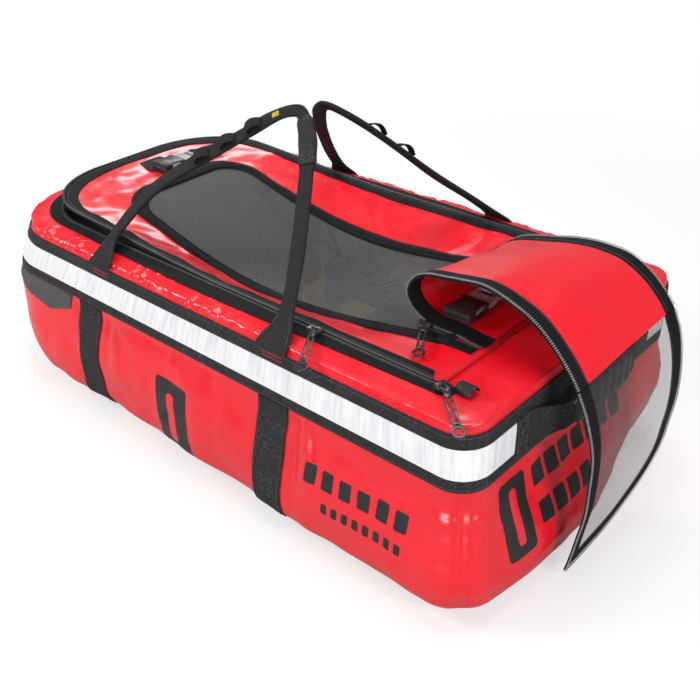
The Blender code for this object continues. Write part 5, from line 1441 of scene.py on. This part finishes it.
def pullParts():  # along +X from the hinge: an eye, a waisted bar and a ring
    ringX = zips["pullLength"] - zips["ring"]
    neck = zips["neck"] * 2 + 0.0014
    parts = [flatRing((ringX, 0, 0), zips["ring"], zips["hole"], zips["thick"] + 0.0004),
             roundBox((0.0075, neck, zips["thick"] + 0.0002), (0.0039, 0, 0), 0.0007),
             roundBox((0.0040, neck, zips["thick"]), (0.0400, 0, 0), 0.0007)]
    for side in (-1, 1):
        at = (ringX / 2 - 0.001, side * 0.0030, 0)
        parts.append(roundBox((ringX - 0.008, zips["rod"], zips["thick"] + 0.0002), at, 0.0007))
    return parts


def buildSliders():
    for label, node, at, axis, heading, dip, slider, pull in zips["places"]:
        place = Matrix.Translation(Vector((at[0] + midX, at[1], at[2])))
        finishPiece(joinParts(label, sliderParts(), zipMetal, place), slider, [node])
        turn = Matrix.Rotation(math.radians(heading), 4, "Z") @ Matrix.Rotation(math.radians(dip), 4, "Y")
        run = turn @ Vector((1, 0, 0))
        start = Vector((axis[0] + midX, axis[1], axis[2])) - run * (zips["thick"] / 2)
        tab = joinParts(label + "Pull", pullParts(), zipMetal, Matrix.Translation(start) @ turn)
        finishPiece(tab, pull, [node + "_pull"])


buildSliders()
print("sliders run on")


# End handle, zip end tabs and the second half of the flap's zip
handle = {
    "face": 0.4536, "middle": 0.207, "bow": 0.019, "gripHalf": 0.062, "width": 0.046, "narrow": 0.25,
    "free": 0.1177, "reach": 0.142, "ribs": 7, "thick": 0.0018, "bendHalf": 0.072,
    "tabStart": 0.118, "tabMargin": 0.003, "tabStitchHalf": 0.020,
    "gripWidth": 0.0395, "ribWidth": 0.0022, "gripThick": 0.0085, "ribThick": 0.0024,
    "zipTabFoot": 0.176, "zipTabDepth": 0.014, "zipTabHeight": 0.0065, "zipTabLevel": 0.2617,
    "zipTabEnds": (0.400, 0.420), "flapZipEnds": (0.292, 0.374), "flapZipAcross": (0.0985, 0.114),
    "flapZipThick": 0.0010, "flapZipTooth": (0.0013, 0.0034, 0.0011),
}


def handleLine():  # inner face from the near end to the far end, as (y, x)
    start, face, bow, grip = handle["free"], handle["face"], handle["bow"], handle["bendHalf"]
    near = [(-start, face), (-start + 0.012, face + 0.004), (-grip - 0.006, face + bow - 0.003),
            (-grip + 0.004, face + bow), (0, face + bow + 0.002)]
    return evenly(catmull(near + [(-y, x) for y, x in reversed(near[:-1])], 8), 90)


def buildHandleStrap():
    line = handleLine()
    narrow = smoothStep((handle["free"] - np.abs(line[:, 0])) / 0.04)
    half = handle["width"] / 2 * (1 - handle["narrow"] * narrow)
    grid = np.array([[(x + midX + 0.0009, y, handle["middle"] + s * h) for (y, x), h in zip(line, half)]
                     for s in np.linspace(-1, 1, 11)])
    strap = slab("endHandle", grid, webbing, -0.0009, handle["thick"])
    finishPiece(strap, "end_handle", ["end_handle"])


def buildGrip():  # a moulded sleeve with ribs round the strap
    rings = []
    count = handle["ribs"] * 12
    for i in range(count + 1):
        y = -handle["gripHalf"] + 2 * handle["gripHalf"] * i / count
        rib = abs(math.sin(math.pi * handle["ribs"] * i / count)) ** 0.6
        end = 1 - 0.5 * (abs(2 * i / count - 1) ** 14)
        x = handle["face"] + handle["bow"] + 0.002 * (1 - (y / handle["bendHalf"]) ** 2) + 0.0009
        wide = (handle["gripWidth"] + handle["ribWidth"] * rib) * end
        thick = (handle["gripThick"] + handle["ribThick"] * rib) * end
        centre = np.array([x + midX, y, handle["middle"]])
        rings.append(sectionRing(centre, np.array([0.0, 0, 1]), np.array([1.0, 0, 0]), wide, thick, 24, 0.55))
    grip = loftRings("handleGrip", rings, blackPlastic)
    finishPiece(grip, "end_handle", ["end_handle_grip"])


def buildHandleTabs():
    half, margin, reach = handle["tabStitchHalf"], handle["tabMargin"], handle["width"] / 2
    for side, label in ((-1, "near"), (1, "far")):
        low, high = sorted((side * handle["reach"], side * handle["tabStart"]))
        ys, zs = np.linspace(low, high, 9), handle["middle"] + np.linspace(-reach, reach, 9)
        grid = np.array([[(handle["face"] + midX, y, z) for y in ys] for z in zs])
        tab = slab("handleTab" + label.capitalize(), grid, webbing, 0.0001, handle["thick"])
        finishPiece(tab, "bag", ["handle_tab_" + label])
        corners = [(low + margin, -half), (high - margin, -half), (high - margin, half), (low + margin, half)]
        route = corners + [corners[0], corners[2], corners[3], corners[1]]  # a box with a cross in it
        line = np.array([(handle["face"] + midX + 0.0019, y, handle["middle"] + z) for y, z in route])
        stitchRow("tabStitches" + label.capitalize(), line, np.broadcast_to([1.0, 0, 0], line.shape), "bag")


def stitchBricks(name, line, normals, thread, pitch=0.0034, size=(0.0024, 0.0007, 0.0004)):
    return bricks(name, alongLine(*refine(line, normals, 0.002, 2), pitch), size, thread)


def stitchRow(name, line, normals, body, thread=darkThread):
    finishPiece(stitchBricks(name, line, normals, thread), body)


def buildZipTabs():
    foot, depth = handle["zipTabFoot"], handle["zipTabDepth"]
    for side, label in ((-1, "near"), (1, "far")):
        angle = np.linspace(0, np.pi, 21)
        y = side * (foot - depth * (1 - np.cos(angle)) / 2)
        z = handle["zipTabLevel"] + handle["zipTabHeight"] * np.sin(angle) ** 0.8
        if side > 0:
            y, z = y[::-1], z[::-1]
        xs = np.linspace(*handle["zipTabEnds"], 7) + midX
        grid = np.array([[(x, b, c) for b, c in zip(y, z)] for x in xs])
        tab = slab("zipEndTab" + label.capitalize(), grid[::-1], webbing, 0.0, 0.0019)
        finishPiece(tab, "bag", ["zip_end_tab_" + label])


def buildFlapZip():  # the tape on the lid that the flap's edge closes to
    xs = np.linspace(*handle["flapZipEnds"], 24)
    for side, label in ((-1, "Near"), (1, "Far")):
        ys = np.linspace(*sorted(side * y for y in handle["flapZipAcross"]), 6)
        grid = np.array([[lidPlace(x, y) for x in xs] for y in ys])
        tape = slab("flapZipTape" + label, grid, zipTape, 0.0002, handle["flapZipThick"])
        finishPiece(tape, "lid")
        edge = grid[-1] if side < 0 else grid[0]
        up = np.broadcast_to([0.0, 0, 1], edge.shape)
        zipTeeth("flapZipTeeth" + label, edge, up, "lid", handle["flapZipTooth"], 0.0010)


def makeTree(grid):  # a closed grid of points, for casting rays onto
    points = [Vector(point) for point in grid.reshape(-1, 3)]
    return BVHTree.FromPolygons(points, gridFaces(*grid.shape[:2], True))


lidTree = makeTree(lidSurface)
tubTree = makeTree(tubSurface)


def lidPlace(x, y):  # the lid's surface under a place
    hit = lidTree.ray_cast(Vector((x + midX, y, 0.5)), Vector((0, 0, -1)))[0]
    return tuple(hit) if hit else (x + midX, y, lid["height"])


buildHandleStrap()
buildGrip()
buildHandleTabs()
buildZipTabs()
buildFlapZip()
print("handle and tabs sewn")


# Prints on the side and the end: black rounded boxes with plain red bars
prints = {
    "lift": 0.00012, "barLift": 0.00028, "thick": 0.00010, "corner": 0.006, "blockCorner": 0.0025,
    # name, wall, low and high corner
    "boxes": [("sidePrint", "near", (-0.046, 0.020), (0.020, 0.126)),
              ("endPrint", "end", (-0.168, 0.060), (-0.122, 0.156))],
    # the same for the bar on each box, and its corner's radius
    "bars": [("sideBar", "near", (-0.021, 0.034), (-0.005, 0.110), 0.007),
             ("endBar", "end", (-0.151, 0.074), (-0.139, 0.142), 0.005)],
    # name, wall, start, end, low, high, count of blocks, share of each that is a gap
    "rows": [("sideBlocksTop", "near", 0.234, 0.394, 0.098, 0.122, 6, 0.36),
             ("sideBlocksLow", "near", 0.264, 0.386, 0.068, 0.082, 8, 0.42),
             ("endBlocksTop", "end", -0.108, 0.086, 0.124, 0.150, 7, 0.22),
             ("endBlocksLow", "end", -0.108, 0.000, 0.080, 0.106, 4, 0.22)],
}


def castOnWall(wall, across, z):  # where a place on the near wall or the right end lies, and its normal
    if wall == "near":
        hit, normal = tubTree.ray_cast(Vector((across + midX, -0.5, z)), Vector((0, 1, 0)))[:2]
        facing = normal.y < 0
    else:
        hit, normal = tubTree.ray_cast(Vector((1.0, across, z)), Vector((-1, 0, 0)))[:2]
        facing = normal.x > 0
    return tuple(hit), tuple(normal if facing else -normal)


def plateOutline(wide, tall, radius):  # places across a rounded plate and its half height at each
    quarter = np.linspace(0, np.pi / 2, 7)
    left = -(wide - radius) - radius * np.cos(quarter)
    right = (wide - radius) + radius * np.cos(quarter[::-1])
    between = np.linspace(left[-1], right[0], max(3, int(wide / 0.002)))[1:-1]
    places = np.concatenate([left, between, right])
    inset = np.maximum(0, np.abs(places) - (wide - radius))
    return places, tall - radius + np.sqrt(np.maximum(0, radius ** 2 - inset ** 2))


def printPlate(name, wall, low, high, material, slotName, lift, corner):  # a thin plate on the tub
    wide, tall = (high[0] - low[0]) / 2, (high[1] - low[1]) / 2
    places, reach = plateOutline(wide, tall, min(corner, wide, tall))
    middle = ((low[0] + high[0]) / 2, (low[1] + high[1]) / 2)
    found = np.array([[castOnWall(wall, middle[0] + place, middle[1] + share * half)
                       for place, half in zip(places, reach)]
                      for share in np.linspace(-1, 1, max(5, int(tall / 0.0015)))])
    plate = slab(name, found[:, :, 0], material, lift, prints["thick"], unit(found[:, :, 1]), 0)
    finishPiece(plate, "bag")


def printRow(name, wall, start, end, low, high, count, gap):  # plain blocks in a row
    pitch = (end - start) / count
    for i in range(count):
        left = start + pitch * i
        printPlate(f"{name}{i}", wall, (left, low), (left + pitch * (1 - gap), high), ink, "black_plastic",
                   prints["lift"], prints["blockCorner"])


def buildPrints():
    for box, bar in zip(prints["boxes"], prints["bars"]):
        printPlate(*box, ink, "black_plastic", prints["lift"], prints["corner"])
        printPlate(*bar[:4], tarpaulin, "red_tarpaulin", prints["barLift"], bar[4])
    for row in prints["rows"]:
        printRow(*row)


buildPrints()
print("prints laid")


# Stitching
seams = {
    "edge": 0.0035, "webbingLift": 0.0021, "strapEdge": 0.003, "cornerOffset": 2.2,
    # shares across the lid's frame, lift and thread of its two rows
    "lidRows": [(0.055, 0.0015, darkThread), (0.80, 0.0001, redThread)],
    "filmSeam": (0.905, 0.925),  # shares along the flap of the rows that hold the film
    "dashFeet": (-0.156, 0.176), "dashLevels": (0.2335, 0.2385), "dashHalf": 0.016,
    "dashPitch": 0.0046, "dashSize": (0.0034, 0.0010, 0.0004), "dashLift": 0.0023,
}


def stitchBand():
    for i, z in enumerate((bag["bandBottom"] + seams["edge"], bag["bandTop"] - seams["edge"])):
        points, normals = ringPatch([z], 0.0, float(columnCount))
        stitchRow(f"bandStitches{i}", points[0] + normals[0] * seams["webbingLift"], normals[0], "bag")


def stitchCorners():
    rows = np.array([rowAt(z) for z in np.linspace(0.020, 0.166, 80)])
    for i, seam in enumerate((rightCornerNear, rightCornerFar)):
        for k, offset in enumerate((-seams["cornerOffset"], seams["cornerOffset"])):
            at = np.full(len(rows), seam + offset)
            line, up = (sampleGrid(grid, rows, at, True) for grid in (tubSurface, tubNormals))
            stitchRow(f"cornerStitches{i}{k}", line, unit(up), "bag", redThread)


def stitchStraps():
    for side, (low, high) in (("Left", strapLeft), ("Right", strapRight)):
        for k, x in enumerate((low.x + seams["strapEdge"] - midX, high.x - seams["strapEdge"] - midX)):
            for s, wall in ((-1, "Near"), (1, "Far")):
                points, normals = onWall(np.array([x]), np.linspace(0.166, 0.022, 60), s)
                line = points[:, 0] + normals[:, 0] * seams["webbingLift"]
                stitchRow(f"strapStitches{side}{wall}{k}", line, normals[:, 0], "bag")


def stitchLid():
    for i, (share, lift, thread) in enumerate(seams["lidRows"]):
        points, normals = lidPatch([share], 0.0, float(columnCount))
        stitchRow(f"lidStitches{i}", points[0] + normals[0] * lift, normals[0], "lid", thread)


def stitchFlap():
    for i, share in enumerate(seams["filmSeam"]):
        line, up = flapSheet.at(np.full(60, share), np.linspace(-clearHalf, clearHalf, 60))
        foldPiece(stitchBricks(f"flapStitches{i}", line + up * 0.0008, up, redThread))
    for i, s in enumerate((-1, 1)):
        line, up = flapSheet.at(np.linspace(0.02, 0.99, 120), np.full(120, s * (clearHalf + 0.003)))
        foldPiece(stitchBricks(f"flapTapeStitches{i}", line + up * 0.0019, up, darkThread))


def stitchDashes():  # red dashes on the strip under the near sling's feet
    for i, x in enumerate(seams["dashFeet"]):
        for k, z in enumerate(seams["dashLevels"]):
            xs = np.linspace(x - seams["dashHalf"], x + seams["dashHalf"], 20)
            points, normals = onWall(xs, np.array([z]), -1)
            line = points[0] + normals[0] * seams["dashLift"]
            dashes = stitchBricks(f"slingDashes{i}{k}", line, normals[0], redThread, seams["dashPitch"],
                                  seams["dashSize"])
            finishPiece(dashes, "bag")


stitchBand()
stitchCorners()
stitchStraps()
stitchLid()
stitchFlap()
stitchDashes()
print("stitched")


# Inside: board, padded mattress and the harness
inside = {
    "padTop": 0.0482, "padThick": 0.038, "margin": 0.016, "pressure": 4.0, "frames": 20, "reach": 0.004,
    # the pad's rings: how far each lies outside the pad's outline, and its share of the thickness
    "padRings": [(-0.010, 0.0), (0.0, 0.25), (0.001, 0.6), (-0.008, 0.84), (-0.024, 0.93), (-0.050, 0.97),
                 (-0.085, 0.97), (-0.125, 0.96), (-0.165, 0.95)],
    "strap": 0.038, "wideStrap": 0.056, "strapThick": 0.0018, "harness": 0.0486, "padLift": 0.0006,
    # name, start, end and node of each strap on the pad
    "straps": [("shoulderStrapNear", (-0.260, -0.070), (-0.0433, -0.024), "shoulder_strap_near"),
               ("shoulderStrapFar", (-0.260, 0.070), (-0.0433, 0.024), "shoulder_strap_far"),
               ("waistStrapNear", (0.010, -0.130), (0.010, -0.0453), "waist_strap_near"),
               ("waistStrapFar", (0.010, 0.130), (0.010, 0.0453), "waist_strap_far"),
               ("crotchStrap", (0.190, 0.0), (0.0553, 0.0), "crotch_strap")],
    # the strap end that runs up the far wall: over the pad, then x and height on the wall
    "wallRun": [(-0.060, 0.088), (-0.100, 0.124), (-0.140, 0.160)],
    "wallClimb": [(-0.176, 0.066), (-0.184, 0.080), (-0.190, 0.098)], "wallGap": 0.0075,
    "hangingX": (-0.152, -0.148, -0.144, -0.140), "hangingHeights": (0.085, 0.185),
    "waistEnd": ((-0.045, 0.132), (-0.045, 0.182)),
    "block": (0.090, 0.090, 0.006), "blockX": 0.010, "blockStitchHalf": 0.040,
}
khakiThread = makeThread("khakiThread", colours["khakiThread"])


def puffUp(thing):  # blows the padding up as cloth, within a small reach
    scene = bpy.context.scene
    before = np.array([tuple(vert.co) for vert in thing.data.vertices])
    cloth = thing.modifiers.new("padding", "CLOTH")
    cloth.settings.use_pressure = True
    cloth.settings.uniform_pressure_force = inside["pressure"]
    cloth.settings.effector_weights.gravity = 0
    cloth.settings.tension_stiffness = 20
    cloth.settings.bending_stiffness = 0.3
    cloth.point_cache.frame_end = inside["frames"]
    for number in range(1, inside["frames"] + 1):
        scene.frame_set(number)
    solved = thing.evaluated_get(bpy.context.evaluated_depsgraph_get()).data
    after = np.array([tuple(vert.co) for vert in solved.vertices])
    move = after - before
    length = np.linalg.norm(move, axis=1, keepdims=True)
    move *= np.minimum(1, inside["reach"] / np.maximum(length, 1e-9))
    thing.modifiers.clear()
    thing.data.vertices.foreach_set("co", (before + move).astype(np.float32).ravel())
    thing.data.update()
    scene.frame_set(1)


def buildPad():
    left, right, halfLeft, halfRight, cornerLeft, cornerRight, bow = lowerLevel(*tub["lower"][0])[1:]
    rings = []
    for grow, rise in inside["padRings"]:
        reach = grow - inside["margin"]
        level = [0.0, left - reach, right + reach, halfLeft + reach, halfRight + reach,
                 max(0.004, cornerLeft + reach), max(0.004, cornerRight + reach), bow]
        ring = ringPoints(level)[::5]
        ring[:, 2] = inside["padTop"] - inside["padThick"] * (1 - rise)
        rings.append(ring)
    pad = loftRings("mattressPad", rings, lining, sharp=60)
    puffUp(pad)
    corners = [face.vertices for face in pad.data.polygons]
    tree = BVHTree.FromPolygons([vert.co for vert in pad.data.vertices], corners)
    finishPiece(pad, "bag", ["mattress_pad"])
    return tree


def onPad(x, y):  # height of the padding's top
    hit = padTree.ray_cast(Vector((x, y, 0.12)), Vector((0, 0, -1)))[0]
    return max(inside["harness"], hit.z + inside["padLift"] if hit else 0.0)


def harnessStrap(name, start, end, nodes, width=inside["strap"], cloth=khaki):  # laid on the pad
    start, end = np.array(start), np.array(end)
    run = unit(end - start)
    side = np.array([-run[1], run[0]])
    t = np.linspace(0, 1, 30)
    shares = np.linspace(-0.5, 0.5, 9)
    lines = np.array([start + (end - start) * t[:, None] + side * (s * width) for s in shares])
    heights = np.array([[onPad(x + midX, y) for x, y in line] for line in lines])
    heights += 0.0006 * np.sin(t * 9 + shares[:, None] * 2) ** 2
    grid = np.dstack([lines[..., 0] + midX, lines[..., 1], heights])
    finishPiece(slab(name, grid, cloth, 0.0, inside["strapThick"]), "bag", nodes)
    for k, row in enumerate((1, -2)):
        line = grid[row] + [0, 0, 0.0021]
        stitchRow(name + f"Stitches{k}", line, np.broadcast_to([0.0, 0, 1], line.shape), "bag", khakiThread)


def buildWallStrap():  # the far shoulder strap's end, run up the far wall
    floorLine = [(x + midX, y, onPad(x + midX, y) + 0.002) for x, y in inside["wallRun"]]
    xs, heights = zip(*inside["wallClimb"])
    wall, wallNormals = onWall(xs, heights, 1)
    climb = [tuple(wall[i, i] - wallNormals[i, i] * inside["wallGap"]) for i in range(len(xs))]
    line = evenly(catmull(floorLine + climb, 8), 40)
    tangent = unit(np.gradient(line, axis=0))
    rise = np.clip((line[:, 1] - 0.165) / 0.03, 0, 1)
    normal = unit(np.column_stack([rise * 0, -rise, 1.02 - rise]))
    side = unit(np.cross(normal, tangent))
    grid = np.array([line + side * (s * inside["strap"]) for s in np.linspace(-0.5, 0.5, 7)])
    # this strap end wears the lit copy of the khaki: painted light
    finishPiece(slab("shoulderEndFar", grid, paintedLitKhaki, 0.0, inside["strapThick"]), "bag")
    wall, wallNormals = onWall(inside["hangingX"], np.linspace(*inside["hangingHeights"], 14), 1)
    hanging = wall - wallNormals * inside["wallGap"]  # a thin strap that hangs on the far wall
    finishPiece(slab("innerStrap", hanging, zipTape, 0.0, 0.0016), "bag")


def buildHarness():
    for name, start, end, node in inside["straps"]:
        harnessStrap(name, start, end, [node])
    # the waist strap's end also wears the lit copy of the khaki: painted light
    harnessStrap("waistEndFar", *inside["waistEnd"], [], inside["wideStrap"], paintedLitKhaki)
    buildWallStrap()
    x0, tall, half = inside["blockX"] + midX, inside["block"][2], inside["blockStitchHalf"]
    block = roundBox(inside["block"], (x0, 0, inside["harness"] + tall / 2), 0.0022, 3)
    finishPiece(joinParts("harnessPad", [block], khaki), "bag", ["harness_pad"])
    corners = [(-half, -half), (half, -half), (half, half), (-half, half), (-half, -half)]
    line = np.array([(x0 + x, y, inside["harness"] + tall) for x, y in corners])
    stitchRow("harnessPadStitches", line, np.broadcast_to([0.0, 0, 1], line.shape), "bag", khakiThread)


padTree = buildPad()
buildHarness()
print("inside laid")


# Stage: floor, light and camera
stage = {
    "azimuth": 43.4235, "elevation": 32.0444, "roll": -2.4117, "lens": 48.0642,
    "camera": (0.8585 + midX, -0.8120, 0.8021),
    "floorGlow": (0.55, 1.0), "glowReach": (0.65, 1.6),  # share of white near the bag and far off
    "floorColour": (0.90, 0.90, 0.90), "floorReflected": (0.42, 0.42, 0.42),
    "lights": [
        # place, where it points, width, height, power, colour
        ((0.1, 0.3, 2.5), (0.0, 0.0, 0.15), 1.2, 1.0, 27.0, (1.0, 1.0, 1.0)),
        ((-1.6, 1.4, 1.35), (0.0, 0.0, 0.20), 1.1, 0.40, 12.0, (1.0, 1.0, 1.0)),
        ((-1.7, -1.5, 1.6), (0.0, 0.0, 0.15), 0.8, 0.8, 40.0, (1.0, 1.0, 1.0)),
        ((2.0, -0.4, 1.0), (0.1, 0.0, 0.15), 0.8, 0.8, 21.0, (1.0, 1.0, 1.0)),
        ((0.6, -2.3, 0.7), (0.0, 0.0, 0.12), 1.2, 0.5, 21.0, (1.0, 1.0, 1.0)),
    ],
    "ambient": 0.27, "floorHalf": 40,
}


def buildFloor():
    size = stage["floorHalf"]
    points = [(-size, -size, 0), (size, -size, 0), (size, size, 0), (-size, size, 0)]
    paper = bpy.data.materials.new("whiteSweep")
    paper.use_nodes = True
    tree = paper.node_tree
    output = tree.nodes["Material Output"]
    diffuse = addNode(tree, "BsdfDiffuse", {"Color": (*stage["floorColour"], 1)})
    glow = addNode(tree, "Emission", {"Strength": 1.0})
    path, coords = addNode(tree, "LightPath"), addNode(tree, "TexCoord")
    length = addNode(tree, "VectorMath", operation="LENGTH")
    share = addNode(tree, "MapRange", interpolation_type="SMOOTHSTEP")
    share.inputs["From Min"].default_value, share.inputs["From Max"].default_value = stage["glowReach"]
    share.inputs["To Min"].default_value, share.inputs["To Max"].default_value = stage["floorGlow"]
    mix = addNode(tree, "MixShader")
    reflected = addNode(tree, "BsdfDiffuse", {"Color": (*stage["floorReflected"], 1)})
    seen = addNode(tree, "MixShader")
    joins = [(coords.outputs["Object"], length.inputs[0]), (length.outputs["Value"], share.inputs["Value"]),
             (share.outputs["Result"], mix.inputs[0]), (diffuse.outputs[0], mix.inputs[1]),
             (glow.outputs[0], mix.inputs[2]), (path.outputs["Is Camera Ray"], seen.inputs[0]),
             (reflected.outputs[0], seen.inputs[1]), (mix.outputs[0], seen.inputs[2]),
             (seen.outputs[0], output.inputs["Surface"])]
    for source, target in joins:
        tree.links.new(source, target)
    floor = makeObject("floor", points, [(0, 1, 2, 3)], paper, sharp=None)


def buildWorld():
    world = bpy.data.worlds.new("softRoom")
    world.use_nodes = True
    tree = world.node_tree
    room = tree.nodes["Background"]
    room.inputs["Color"].default_value = (1, 1, 1, 1)
    room.inputs["Strength"].default_value = stage["ambient"]
    white = addNode(tree, "Background", {"Color": (1, 1, 1, 1)})
    path, mix = addNode(tree, "LightPath"), addNode(tree, "MixShader")
    tree.links.new(path.outputs["Is Camera Ray"], mix.inputs[0])
    tree.links.new(room.outputs[0], mix.inputs[1])
    tree.links.new(white.outputs[0], mix.inputs[2])
    tree.links.new(mix.outputs[0], tree.nodes["World Output"].inputs["Surface"])
    bpy.context.scene.world = world


def buildLights():
    for i, (place, target, wide, tall, power, colour) in enumerate(stage["lights"]):
        data = bpy.data.lights.new(f"softbox{i}", "AREA")
        data.shape = "RECTANGLE"
        data.size, data.size_y = wide, tall
        data.energy = power
        data.color = colour
        lamp = putInScene(f"softbox{i}", data)
        lamp.location = place
        lamp.rotation_euler = (Vector(target) - Vector(place)).to_track_quat("-Z", "Y").to_euler()


def buildCamera():
    azimuth, elevation, roll = (math.radians(stage[key]) for key in ("azimuth", "elevation", "roll"))
    forward = Vector((-math.sin(azimuth) * math.cos(elevation), math.cos(azimuth) * math.cos(elevation),
                      -math.sin(elevation)))
    level = Vector((math.cos(azimuth), math.sin(azimuth), 0))
    upright = level.cross(forward)
    right = level * math.cos(roll) + upright * math.sin(roll)
    up = upright * math.cos(roll) - level * math.sin(roll)
    data = bpy.data.cameras.new("camera")
    data.sensor_width = 36
    data.lens = stage["lens"]
    camera = putInScene("camera", data)
    matrix = Matrix((right, up, -forward)).transposed().to_4x4()
    matrix.translation = Vector(stage["camera"])
    camera.matrix_world = matrix
    bpy.context.scene.camera = camera


buildFloor()
buildWorld()
buildLights()
buildCamera()
bpy.context.scene.view_settings.view_transform = "Standard"
print("stage set")
